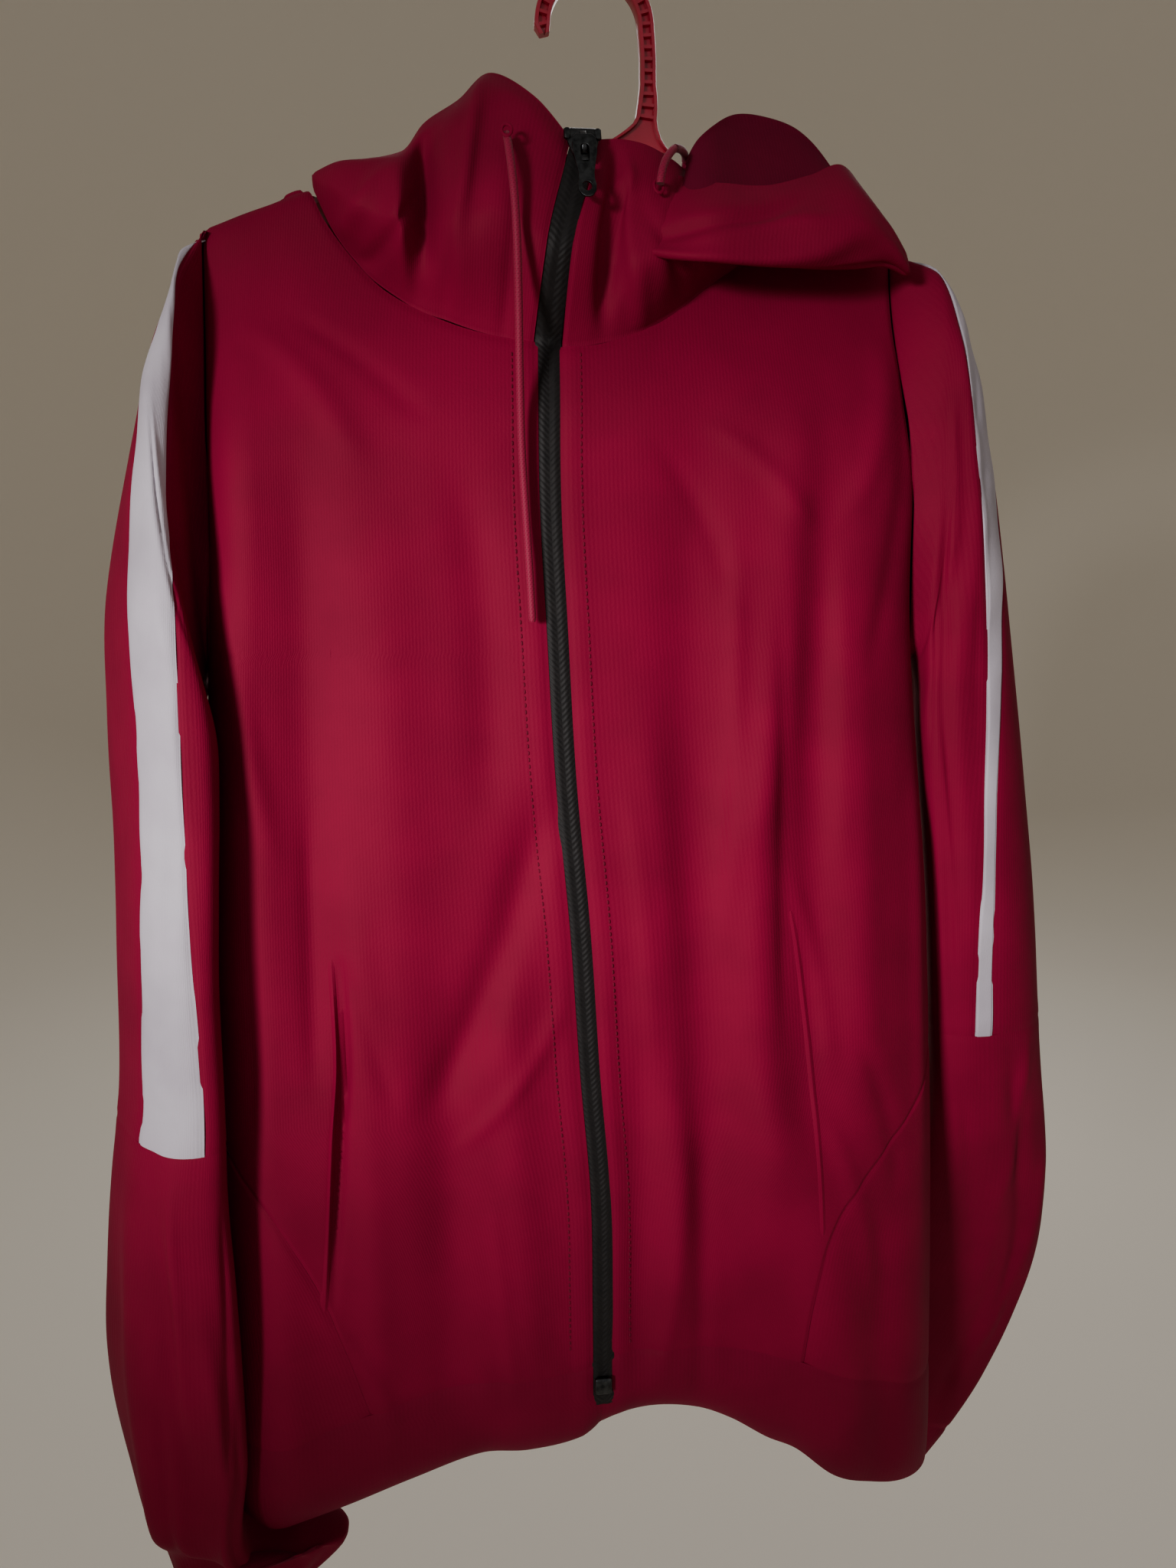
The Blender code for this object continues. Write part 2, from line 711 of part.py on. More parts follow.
def sleeve_point(table, folds, armhole, ring, degrees):
    """A point of a sleeve, on its ring and at its angle. The first ring is the armhole."""
    turn = math.radians(degrees)
    in_out = rounded(math.cos(turn), SLEEVE_SQUARE)
    back_front = rounded(math.sin(turn), SLEEVE_SQUARE)
    column = lambda name: table.at(name, ring)
    out_x, in_x = column("out_x"), column("in_x")
    out_down, in_down = column("out_down"), column("in_down")
    middle_y = (column("front_y") + column("back_y")) / 2
    half_depth = (column("back_y") - column("front_y")) / 2
    x = (out_x + in_x) / 2 + (in_x - out_x) / 2 * in_out
    down = (out_down + in_down) / 2 + (in_down - out_down) / 2 * in_out
    outward = 1 if armhole is ARMHOLE_LEFT else -1
    bulge = sleeve_fold(folds, ring, degrees % 360)
    x += outward * column("lean") * back_front
    x -= outward * bulge * math.cos(turn)
    y = middle_y + (half_depth + bulge * abs(math.sin(turn))) * back_front
    if ring < 1:
        seam_down = min(max(down, ARMHOLE_TOP), ARMHOLE_FOOT + 2)
        seam_x = armhole.at("x", seam_down)
        front, back = front_y(seam_x, seam_down), back_y(seam_x, seam_down)
        turned = min(max(back_front * 4, -1.0), 1.0)
        seam_y = (front + back) / 2 + max((back - front) / 2, ARMHOLE_LEAST) * turned
        share = smooth_step(ring)
        seam_x += outward * ARMHOLE_GAP
        x = seam_x + (x - seam_x) * share
        y = seam_y + (y - seam_y) * share
    return place(x, down, y)


def make_sleeve(side, table, folds, armhole, stripe, cloth, white, rib):
    outside = -1 if side == "right" else 1
    gap = lambda ring: 0.5 + 8.0 * max(0.0, 1 - ring / 2.8)  # degrees left open at a seam

    def strip(name, start, end, ring0, ring1, columns, rows, finish, thick=CLOTH, closed=False):
        def point(across, share):
            ring = ring0 + (ring1 - ring0) * share
            first, last = start(ring), end(ring)
            return sleeve_point(table, folds, armhole, ring, first + (last - first) * across)

        def reach(share):
            ring = ring0 + (ring1 - ring0) * share
            return SLEEVE_PROBE / (end(ring) - start(ring))

        sheet_wall(f"{name}_{side}", point, columns, rows, thick, finish, outside, closed, reach)

    strip("stripe", lambda r: stripe.at("start", r) + gap(r), lambda r: stripe.at("end", r) - gap(r),
          SLEEVE_FIRST_RING, STRIPE_LAST_RING, 5, 21, white, thick=STRIPE)
    strip("sleeve_front", lambda r: stripe.at("end", r) + gap(r), lambda r: 360 - gap(r),
          SLEEVE_FIRST_RING, STRIPE_LAST_RING, 7, 21, cloth)
    strip("sleeve_back", lambda r: gap(r), lambda r: stripe.at("start", r) - gap(r),
          SLEEVE_FIRST_RING, STRIPE_LAST_RING, 12, 21, cloth)
    strip("forearm", lambda r: 0.0, lambda r: 360.0, STRIPE_LAST_RING + 0.03, 15.0, 18, 10, cloth,
          closed=True)
    strip("cuff", lambda r: 0.0, lambda r: 360.0, 15.04, SLEEVE_LAST_RING, 18, 3, rib,
          thick=RIB, closed=True)


# ---------------------------------------------------------------- hood

# Sections of the hood from the right shoulder round to the zip. Each is read from the neck
# seam up: on the seam, at the fullest part, near the top and just over the top edge
HOOD_RIGHT = [
    [(-144, 104, -7), (-143.5, 101, -11), (-143, 98, -10), (-142, 97, -4)],
    [(-134, 125, -24), (-132, 110, -29), (-130, 97, -22), (-129, 93, -8)],
    [(-119, 145, -34), (-117, 122, -41), (-115, 99, -30), (-114, 91, -9)],
    [(-103, 158, -41), (-101, 130, -49), (-99, 99, -34), (-98, 86, -10)],
    [(-92, 164.5, -44), (-90, 130, -44), (-88, 92, -30), (-87, 73, -10)],
    [(-78, 170, -47), (-76, 130, -58), (-72, 84, -38), (-70, 62, -10)],
    [(-64, 175, -50), (-62, 128, -60), (-57, 76, -38), (-54, 50, -12)],
    [(-50, 178.5, -52), (-46, 130, -60), (-38, 84, -44), (-34, 68, -33)],
    [(-37.5, 181, -53), (-32, 140, -60), (-22, 104, -48), (-17.3, 88, -38)],
]
HOOD_LEFT = [
    [(-21.5, 183, -53), (-18, 142, -60), (-9, 108, -48), (-3.2, 88, -38)],
    [(-8, 181.5, -53), (-4, 142, -56), (4, 108, -47), (8, 87.5, -38)],
    [(8, 177.5, -52), (9, 145, -50), (16, 112, -46), (21, 89, -36)],
    [(24, 171, -50), (27, 143, -54), (32, 114, -44), (35, 93, -30)],
    [(40, 161, -46), (42, 140, -42), (45, 112, -32), (47, 96, -20)],
    [(56, 148.5, -40), (58, 130, -36), (61, 110, -25), (63, 97, -14)],
    [(84, 129.5, -24), (85, 120, -22), (86, 109, -16), (87, 98, -9)],
    [(112, 112.8, -9.5), (112, 110, -11), (112, 107, -9), (112, 104, -4)],
]
# The part of the hood that has flopped over the left shoulder. Each section runs from the
# free front edge down to the rolled fold, under it and up behind to the crown
HOOD_FLAP = [
    [(36, 101, -45), (26, 124, -60), (19, 141, -63), (24, 138, -60), (33, 120, -56), (41, 98, -43)],
    [(54, 107, -45), (45, 128, -66), (40, 147, -66), (42, 141, -57), (47, 112, -47), (50, 82, -28)],
    [(78, 108, -44), (74, 130, -66), (72, 149.5, -62), (73, 141, -48), (74, 108, -33), (70, 66, -12)],
    [(101, 102, -42), (99, 128, -66), (98, 150, -60), (98, 141, -44), (97, 104, -25), (94, 67, -10)],
    [(120, 95.5, -38), (121, 122, -62), (122, 147, -56), (122, 139, -39), (119, 104, -21), (111, 75, -9)],
    [(138, 112, -32), (139, 128, -54), (140, 145, -50), (140, 137, -35), (138, 111, -19), (130, 95, -8)],
    [(152, 130, -28), (153, 138, -44), (154, 147.5, -42), (153.5, 141, -30), (152, 126, -20), (148, 117, -10)],
]
# The centre piece, which falls behind the neck: over the top, down the back, round the fold
# and up to the back neck seam
HOOD_BACK = [
    [(-140, 100, -2.5), (-141, 112, 18), (-138, 165, 30), (-134, 196, 31), (-136, 165, 25), (-138, 112.5, 13.8)],
    [(-127, 92, -6), (-126, 108, 24), (-124, 190, 38), (-120, 232, 38), (-123, 190, 28), (-125, 115, 15.8)],
    [(-97, 85, -8), (-96, 103, 26), (-94, 215, 43), (-92, 268, 42), (-94, 215, 30), (-96, 119, 17.4)],
    [(-75, 66.4, -7.5), (-75, 92, 26), (-72, 226, 46), (-70, 284, 44), (-72, 226, 31), (-74, 122, 18)],
    [(-54, 52.4, -7.5), (-55, 84, 26), (-50, 232, 47), (-48, 294, 45), (-50, 232, 31), (-54, 124, 18.4)],
    [(-26, 74, -1), (-22, 97, 26), (-14, 235, 48), (-12, 300, 46), (-14, 235, 31), (-16, 126, 18.6)],
    [(8, 89, 12), (8, 101, 28), (10, 235, 48), (11, 300, 46), (10, 235, 31), (9, 126, 18.6)],
    [(34, 92, 13), (34, 104, 28), (36, 230, 47), (37, 292, 45), (36, 230, 31), (34, 125, 18.5)],
    [(66, 84, 2), (68, 100, 26), (72, 215, 43), (74, 270, 42), (72, 215, 30), (70, 122.5, 17.6)],
    [(100, 92, 0), (101, 108, 23), (101, 188, 37), (101, 230, 37), (101, 188, 27.5), (100, 119, 16)],
    [(117, 104, 1.6), (119, 114, 18), (119, 164, 30), (118, 192, 30), (118, 164, 24.5), (117, 114.5, 13.6)],
]
HOOD_FOOT = 0.35  # share of the height over which it settles onto the fronts' neck edge
HOOD_FOLDS = [
    # across and up, both as shares of the piece: start, end, width, depth
    ("hood_right", (0.52, 0.26), (0.50, 0.70), 0.05, -9.0),
    ("hood_right", (0.40, 0.15), (0.36, 0.65), 0.05, 4.0),
    ("hood_right", (0.70, 0.30), (0.78, 0.70), 0.06, -3.5),
    ("hood_left", (0.20, 0.20), (0.22, 0.62), 0.06, -6.0),
    ("hood_left", (0.34, 0.25), (0.36, 0.55), 0.06, 2.0),
]


def hood_spot(name, sections, across, share):
    """Where a point of a hood piece lies: smooth along its sections and from one to the next."""
    rungs = [along(section, share) for section in sections]
    x, down, y = along(rungs, across)
    if name in ("hood_right", "hood_left"):
        foot_x, foot_down, foot_y = along([section[0] for section in sections], across)
        settle = 1 - smooth_step(share / HOOD_FOOT)
        y += (front_y(foot_x, foot_down) - foot_y) * settle
        down -= SEAM_GAP * settle
    for piece, start, end, width, depth in HOOD_FOLDS:
        if piece != name:
            continue
        run = (share - start[1]) / (end[1] - start[1])
        if -0.3 < run < 1.3:
            middle = start[0] + (end[0] - start[0]) * run
            fade = smooth_step((run + 0.3) / 0.5) * smooth_step((1.3 - run) / 0.5)
            y -= depth * fade * math.exp(-(((across - middle) / width) ** 2))
    return x, down, y


def hood_point(name, sections, across, share):
    return place(*hood_spot(name, sections, across, share))


def make_hood(cloth):
    for name, sections, columns, rows, outside in (
        ("hood_right", HOOD_RIGHT, 21, 11, 1),
        ("hood_left", HOOD_LEFT, 15, 9, 1),
        ("hood_flap", HOOD_FLAP, 13, 14, -1),
        ("hood_back", HOOD_BACK, 15, 15, 1),
    ):
        sheet_wall(
            name,
            lambda across, share, n=name, s=sections: hood_point(n, s, across, share),
            columns, rows, CLOTH, cloth, outside,
        )


# ---------------------------------------------------------------- hanger

def make_hanger(plastic):
    up, right = Vector((0, 0, 1)), Vector((1, 0, 0))
    back = Vector((0, 1, 0))
    centre_down = HOOK_RADIUS - HOOK_BAR / 2
    path = [(-HOOK_RADIUS + 1.0, centre_down + HOOK_TIP_DROP)]
    for step in range(13):
        turn = math.pi - math.pi * step / 12
        path.append((HOOK_RADIUS * math.cos(turn), centre_down - HOOK_RADIUS * math.sin(turn)))
    path += [(27.5, 40), (27.5, 54), (27, 62), (26, 69), (24.5, 74), (24, 77.6)]
    flare = {14: 0.5, 15: 1.2, 16: 2.5, 17: 6.5, 18: 12.5}  # its foot spreads on to the arms
    sections = []
    for index, (x, down) in enumerate(path):
        ahead = path[min(index + 1, len(path) - 1)]
        behind = path[max(index - 1, 0)]
        heading = Vector((ahead[0] - behind[0], 0, behind[1] - ahead[1])).normalized()
        across = heading.cross(back).normalized()
        wide = 2.6 if index == 0 else HOOK_BAR / 2 + flare.get(index, 0.0)
        deep = 2.6 if index == 0 else HOOK_BAR / 2
        sections.append((place(x, down, 0), wide, deep, across, back))
    bar("hanger_hook", sections, 12, plastic, 2.5)

    sections = []
    count = 20
    for step in range(count + 1):
        x = ARM_END_RIGHT + (ARM_END_LEFT - ARM_END_RIGHT) * step / count
        end = min(step, count - step)
        size = (0.45, 0.85)[end] if end < 2 else 1.0
        half = ARM_HALF_HEIGHT * size
        middle = SHOULDER.at("down", x) + ARM_UNDER_CLOTH + ARM_HALF_HEIGHT
        boss = math.exp(-(((x - 24) / 17) ** 2))
        sections.append(
            (place(x, middle - 6.5 * boss, 0), half + 2 * boss, ARM_HALF_DEPTH * size, up, back)
        )
    bar("hanger_arms", sections, 12, plastic, 2.6)


# ---------------------------------------------------------------- zip and trims

def collar_edge(name, sections, across, down):
    """The x and y of a front edge of the collar at one drop."""
    points = [hood_spot(name, sections, across, k / 20) for k in range(21)]
    for low, high in zip(points, points[1:]):
        if high[1] <= down <= low[1]:
            share = (down - low[1]) / (high[1] - low[1])
            return low[0] + (high[0] - low[0]) * share, low[2] + (high[2] - low[2]) * share
    end = points[-1] if down < points[-1][1] else points[0]
    return end[0], end[2]


@functools.cache
def zip_face(down):
    """The zip's middle and outer face at one drop: with the collar above, the fronts below."""
    if down > ZIP_NECK:
        return BODY.at("zip_x", down), front_y(BODY.at("zip_x", down), down)
    right, y = collar_edge("hood_right", HOOD_RIGHT, 1.0, down)
    left, _ = collar_edge("hood_left", HOOD_LEFT, 0.0, down)
    return (right + left) / 2, y


def zip_rows():
    drops = [ZIP_TOP + 1 + 7.5 * k for k in range(13)]
    while drops[-1] < ZIP_FOOT - 18:
        drops.append(drops[-1] + 24.0)
    drops[-1] = ZIP_FOOT
    return drops


def make_zip(tape, metal):
    for side, name in ((-1, "zip_right"), (1, "zip_left")):
        grid = []
        for down in zip_rows():
            middle, y = zip_face(down)
            near = middle + side * HALF_GAP
            far = middle + side * (TAPE_WIDTH - SEAM_GAP)
            grid.append([place(x, down, y + 0.4) for x in (near, (near + far) / 2, far)])
        lean = Vector((0, -1, 0))
        wall(name, grid, [[lean] * 3 for _ in grid], TAPE_THICK, tape)

    top, y = zip_face(ZIP_TOP + 6)
    sections = []
    for down, half in ((-9, 6.4), (-6, 8.0), (0, 7.2), (5, 5.2), (7.6, 3.8)):
        sections.append(
            (place(top, ZIP_TOP + 6 + down, y - 3.0 - down * PULL_LEAN), half, 1.5,
             Vector((1, 0, 0)), Vector((0, 1, 0)))
        )
    bar("zip_slider", sections, 10, metal, 3.0)

    foot, y = zip_face(ZIP_FOOT - 3)
    sections = [
        (place(foot, ZIP_FOOT - 9 + step * 9, y - 1.6), 4.6, 1.3, Vector((1, 0, 0)), Vector((0, 1, 0)))
        for step in (0, 1)
    ]
    bar("zip_stop", sections, 10, metal, 4.0)
    return top


def make_pull(metal, top):
    """The pull tab hangs from the slider and swings out on a hinge across it."""
    pivot_down = ZIP_TOP + 3.5
    _, slider_y = zip_face(ZIP_TOP + 6)
    pivot = place(top, pivot_down, slider_y - 6.6)
    sections = []
    for run, half in ((-1.6, 3.6), (0, 5.4), (6, 5.8), (14, 4.6), (20, 3.8), (25, 4.3), (PULL_LENGTH, 1.8)):
        sections.append(
            (place(top, pivot_down + run, slider_y - 6.6 - run * PULL_LEAN), half, 0.9,
             Vector((1, 0, 0)), Vector((0, 1, 0)))
        )
    bar("zip_pull", sections, 10, metal, 3.0, origin=pivot)


PULL_LEAN = 0.42  # the collar leans forward on its way down, and the tab lies along it


def make_drawcords(cord):
    """Routes from each eyelet, as points on the middle of the cord."""
    right = [
        (-49, 93, -53), (-48.5, 99, -58), (-47.5, 112, -63.5), (-46.5, 127, -66), (-45.8, 147, -65),
        (-45.4, 170, -60), (-45.4, 200, -57), (-45.2, 235, -57), (-44, 265, -58),
        (-43, 290, -60), (-42, 318, -61),
    ]
    left = [
        (24, 112, -53), (24.8, 107, -52.5), (27.5, 100, -49), (32.5, 93, -43), (37.5, 89.5, -34),
        (41.5, 88.5, -26), (43.5, 90, -19.5), (44, 97, -14.5), (43.5, 109, -13), (43, 122, -13.5),
        (42, 134, -14),
    ]
    for name, route in (("drawcord_right", right), ("drawcord_left", left)):
        count = 26 if name == "drawcord_right" else 14
        curve = bpy.data.curves.new(name, "CURVE")
        curve.dimensions = "3D"
        curve.bevel_depth = CORD_WIDTH / 2 * MM
        curve.bevel_resolution = 2
        curve.use_fill_caps = True
        spline = curve.splines.new("POLY")
        spline.points.add(count - 1)
        for index in range(count):
            x, down, y = along(route, index / (count - 1))
            spline.points[index].co = (*place(x, down, y), 1)
        curve.materials.append(cord)
        made = bpy.data.objects.new(name, curve)
        bpy.context.scene.collection.objects.link(made)


# ---------------------------------------------------------------- the whole hoodie

def main():
    for old in list(bpy.data.objects):
        bpy.data.objects.remove(old, do_unlink=True)
    cloth = material("tricot_crimson", RED, 0.72)
    rib = material("rib_crimson", DEEP_RED, 0.8)
    white = material("tricot_white", WHITE, 0.7)
    tape = material("zip_tape_black", BLACK, 0.55)
    plastic = material("polypropylene_red", PLASTIC_RED, 0.32)
    metal = material("zip_steel", STEEL, 0.35, 1.0)
    cord = material("braid_crimson", RED, 0.6)
    make_hanger(plastic)
    make_fronts(cloth)
    make_side_panels(cloth)
    make_back(cloth)
    make_hem(rib)
    make_pockets(cloth)
    make_sleeve("right", SLEEVE_RIGHT, SLEEVE_FOLDS_RIGHT, ARMHOLE_RIGHT, STRIPE_RIGHT, cloth, white, rib)
    make_sleeve("left", SLEEVE_LEFT, SLEEVE_FOLDS_LEFT, ARMHOLE_LEFT, STRIPE_LEFT, cloth, white, rib)
    make_hood(cloth)
    top = make_zip(tape, metal)
    make_pull(metal, top)
    make_drawcords(cord)


main()
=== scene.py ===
"""The look of a zip hoodie of smooth tricot on a moulded plastic hanger.

The cloth forms are those of the CAD source, in its own millimetres, drawn finer and with the
small folds, seams and stitches added. +X is the wearer's left, +Y runs back, and "down" is
the drop below the inside of the hanger's hook.
"""

import functools
import math

import bmesh
import bpy
from mathutils import Matrix, Vector, noise


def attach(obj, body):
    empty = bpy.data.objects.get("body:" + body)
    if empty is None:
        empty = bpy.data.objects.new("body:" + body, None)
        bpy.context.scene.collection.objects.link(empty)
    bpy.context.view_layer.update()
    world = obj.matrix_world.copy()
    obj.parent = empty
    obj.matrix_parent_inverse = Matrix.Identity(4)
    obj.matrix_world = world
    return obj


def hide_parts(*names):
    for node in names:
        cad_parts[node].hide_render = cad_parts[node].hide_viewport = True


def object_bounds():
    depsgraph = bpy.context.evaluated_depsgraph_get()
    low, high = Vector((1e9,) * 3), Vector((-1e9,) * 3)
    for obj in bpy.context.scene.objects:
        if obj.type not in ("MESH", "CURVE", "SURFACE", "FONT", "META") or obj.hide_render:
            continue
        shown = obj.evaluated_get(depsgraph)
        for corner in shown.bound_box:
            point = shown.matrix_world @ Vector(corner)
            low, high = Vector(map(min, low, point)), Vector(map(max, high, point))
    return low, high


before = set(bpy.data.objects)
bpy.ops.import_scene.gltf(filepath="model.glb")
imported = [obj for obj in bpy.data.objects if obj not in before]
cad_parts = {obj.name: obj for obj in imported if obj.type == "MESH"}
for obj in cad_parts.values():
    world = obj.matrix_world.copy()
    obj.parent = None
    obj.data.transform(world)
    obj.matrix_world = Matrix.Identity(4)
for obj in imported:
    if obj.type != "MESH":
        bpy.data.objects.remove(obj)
cad_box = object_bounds()

MM = 0.001
RIGHT = Vector((1, 0, 0))
BACK = Vector((0, 1, 0))
UP = Vector((0, 0, 1))
BODY_NAME = "root"
PULL_BODY = "pull"

# ---------------------------------------------------------------- the photograph's view

CAMERA_PLACE = (-0.083, -0.600, -0.300)
CAMERA_LOOKS = (0.123, 0.976, -0.183)
CAMERA_UP = (0.034, 0.180, 0.983)
FOCAL_SHARE = 1400 / 2048  # of the photograph's height
SENSOR = 36.0


def make_camera():
    forward = Vector(CAMERA_LOOKS).normalized()
    right = forward.cross(Vector(CAMERA_UP)).normalized()
    up = right.cross(forward)
    camera = bpy.data.cameras.new("camera")
    camera.sensor_fit = "AUTO"
    camera.sensor_width = SENSOR
    camera.lens = FOCAL_SHARE * SENSOR
    camera.clip_start = 0.02
    made = bpy.data.objects.new("camera", camera)
    made.matrix_world = Matrix(
        (
            (right.x, up.x, -forward.x, CAMERA_PLACE[0]),
            (right.y, up.y, -forward.y, CAMERA_PLACE[1]),
            (right.z, up.z, -forward.z, CAMERA_PLACE[2]),
            (0, 0, 0, 1),
        )
    )
    bpy.context.scene.collection.objects.link(made)
    bpy.context.scene.camera = made


make_camera()

# ---------------------------------------------------------------- sizes, in millimetres

RIB = 2.4  # cuffs and hem band, folded double
SEAM_GAP = 0.3
HALF_GAP = SEAM_GAP / 2
CURVED_GAP = 0.8  # each side of a curved seam, whose facets bow a little

# Hanger
HOOK_RADIUS = 26.5  # to the middle of the bar
HOOK_BAR = 8.0
HOOK_TIP_DROP = 4.0  # straight end below the half circle

# Body
SHOULDER_ROUND = 14.0
SHOULDER_DEPTH = 9.5
SHOULDER_RIDGE = 0.45  # half the gap between front and back where they meet on top
SHOULDER_LEAST = 0.35  # share of that depth kept at the side folds
CHEST_DROP = 140.0  # where the cloth has come fully forward from the hanger

# Zip
TAPE_WIDTH = 6.0  # each side of the zip that shows
ZIP_TOP = 88.0
ZIP_FOOT = 748.0
ZIP_NECK = 181.0  # where it crosses the neck seam

CORD_WIDTH = 3.8  # the drawcord's

# ---------------------------------------------------------------- tables and curves

def smooth_step(x):
    """0 below 0, 1 above 1, and an S between."""
    x = min(max(x, 0.0), 1.0)
    return x * x * (3 - 2 * x)


def round_over(x):
    """A quarter of an ellipse: starts steep at 0 and is level from 1 on."""
    x = min(max(x, 0.0), 1.0)
    return math.sqrt(max(0.0, 1 - (1 - x) ** 2))


def hermite(a, b, slope_a, slope_b, t):
    """A cubic between two values, with slopes per whole step."""
    return (
        (2 * t**3 - 3 * t**2 + 1) * a
        + (t**3 - 2 * t**2 + t) * slope_a
        + (-2 * t**3 + 3 * t**2) * b
        + (t**3 - t**2) * slope_b
    )


class Table:
    """Rows of named columns, read smoothly at any place along the first column."""

    def __init__(self, names, rows):
        self.names = names.split()
        self.rows = rows

    def slope(self, index, column):
        low = self.rows[max(index - 1, 0)]
        high = self.rows[min(index + 1, len(self.rows) - 1)]
        return (high[column] - low[column]) / (high[0] - low[0])

    def at(self, name, place):
        column = self.names.index(name)
        place = min(max(place, self.rows[0][0]), self.rows[-1][0])
        index = 0
        while index < len(self.rows) - 2 and self.rows[index + 1][0] < place:
            index += 1
        start, end = self.rows[index], self.rows[index + 1]
        step = end[0] - start[0]
        return hermite(
            start[column],
            end[column],
            self.slope(index, column) * step,
            self.slope(index + 1, column) * step,
            (place - start[0]) / step,
        )


def along(points, t):
    """The point at t, 0 to 1, on a smooth curve through evenly counted points."""
    last = len(points) - 1
    index = min(int(t * last), last - 1)
    before = points[max(index - 1, 0)]
    a, b = points[index], points[index + 1]
    after = points[min(index + 2, last)]
    f = t * last - index
    return tuple(
        hermite(a[k], b[k], (b[k] - before[k]) / 2, (after[k] - a[k]) / 2, f) for k in range(3)
    )


def place(x, down, y):
    """A point in metres from the object's own millimetres."""
    return Vector((x, y, -down)) * MM


def rounded(value, power):
    """A cosine or sine bent so that a ring turns from round towards square."""
    return math.copysign(abs(value) ** (2 / power), value)


# ---------------------------------------------------------------- body form

# The two side folds, the zip and the depth of the body at each drop, and how far in from a
# side fold the front and back curve
BODY = Table("down right_x left_x zip_x front_y side_y back_y right_round left_round", [
    (90, -205, 181, -10, -12, -2, 8, 30, 30),
    (125, -205, 182, -19, -20, -3, 11, 30, 30),
    (160, -205, 183, -27, -36, -6, 16, 30, 32),
    (200, -204, 181, -30, -46, -10, 20, 30, 36),
    (260, -203, 173, -31, -51, -13, 22, 30, 44),
    (320, -207, 172, -29, -54, -15, 20, 30, 52),
    (400, -213, 180, -26, -58, -14, 18, 32, 60),
    (480, -219, 189.5, -20, -61, -13, 16, 36, 66),
    (560, -222, 195.5, -16, -64, -12, 14, 40, 70),
    (630, -225, 199.5, -11.5, -68, -12, 12, 42, 72),
    (700, -228, 202.5, -11.5, -71, -12, 10, 42, 72),
    (770, -230, 204.5, -12, -73, -13, 8, 42, 72),
    (870, -232, 208, -12, -74, -15, 5, 42, 72),
])

# The line where the cloth turns over the hanger, from the wearer's right to left
SHOULDER = Table("x down", [
    (-206, 125), (-185, 117), (-166, 110), (-147, 103), (-100, 91), (0, 81), (90, 95), (130, 109),
    (156, 121), (184, 139),
])

# Front neck seam from the right shoulder to the zip, and from the zip to the left shoulder
NECK_RIGHT = Table("x down", [
    (-206, 125), (-185, 117), (-166, 110), (-147, 103.5), (-139, 119), (-127, 136), (-110, 154),
    (-84, 168.5), (-59, 177), (-26, 182),
])
NECK_LEFT = Table("x down", [
    (-31, 183), (-14, 183), (2, 180), (25, 171), (40, 161.5), (56, 149), (84, 130), (112, 113),
    (130, 109.5), (156, 121), (184, 139),
])
NECK_BACK = Table("x down", [
    (-206, 125), (-185, 117), (-166, 110), (-147, 103.5), (-120, 112), (-60, 121), (0, 123),
    (60, 121), (112, 114), (130, 109.5), (156, 121), (184, 139),
])

# Where each sleeve is sewn in, as the x of the seam
ARMHOLE_RIGHT = Table("down x", [(110, -197), (160, -199), (220, -200), (290, -202.5), (338, -205.4)])
ARMHOLE_LEFT = Table("down x", [(110, 156), (160, 157), (200, 159), (240, 164), (290, 168), (338, 171.6)])
ARMHOLE_FOOT = 334.0
ARMHOLE_TOP = 124.0
ARMHOLE_LEAST = 9.0  # half depth kept at its top and foot
ARMHOLE_GAP = 0.2

# Curved seams from the side folds down to the hem band
SIDE_SEAM_RIGHT = Table("down x", [
    (570, -232), (601, -208), (625, -189), (651, -174), (679, -162), (706, -153), (730, -146),
    (770, -135), (800, -128),
])
SIDE_SEAM_LEFT = Table("down x", [
    (556, 196.5), (572, 188.5), (586, 181), (600, 172), (628, 145), (651, 127), (668, 118), (683, 114),
    (716, 108), (774, 102), (820, 98),
])

# Lower edge of the fronts and the height of the hem band on them
HEM_FRONT = Table("x down band", [
    (-232, 820, 58), (-212, 823, 60), (-201, 826, 63), (-180, 821, 61), (-155, 813.5, 61.5),
    (-120, 801.5, 60), (-81, 790, 54), (-54, 791.5, 55.5), (-24, 787, 53.5), (-7, 776, 49), (17, 771, 45),
    (45, 775, 48), (66, 785, 55), (88, 800.5, 63.5), (106, 810.5, 67.5), (130, 832, 77),
    (156, 842.5, 76.5), (182, 851, 75), (209, 858, 76),
])
HEM_TUCK = 13.0  # how far back its lower edge curls
HEM_BACK = Table("x down band", [
    (-232, 820, 54), (-150, 812, 52), (-60, 806, 50), (20, 806, 52), (100, 826, 62), (209, 858, 78),
])

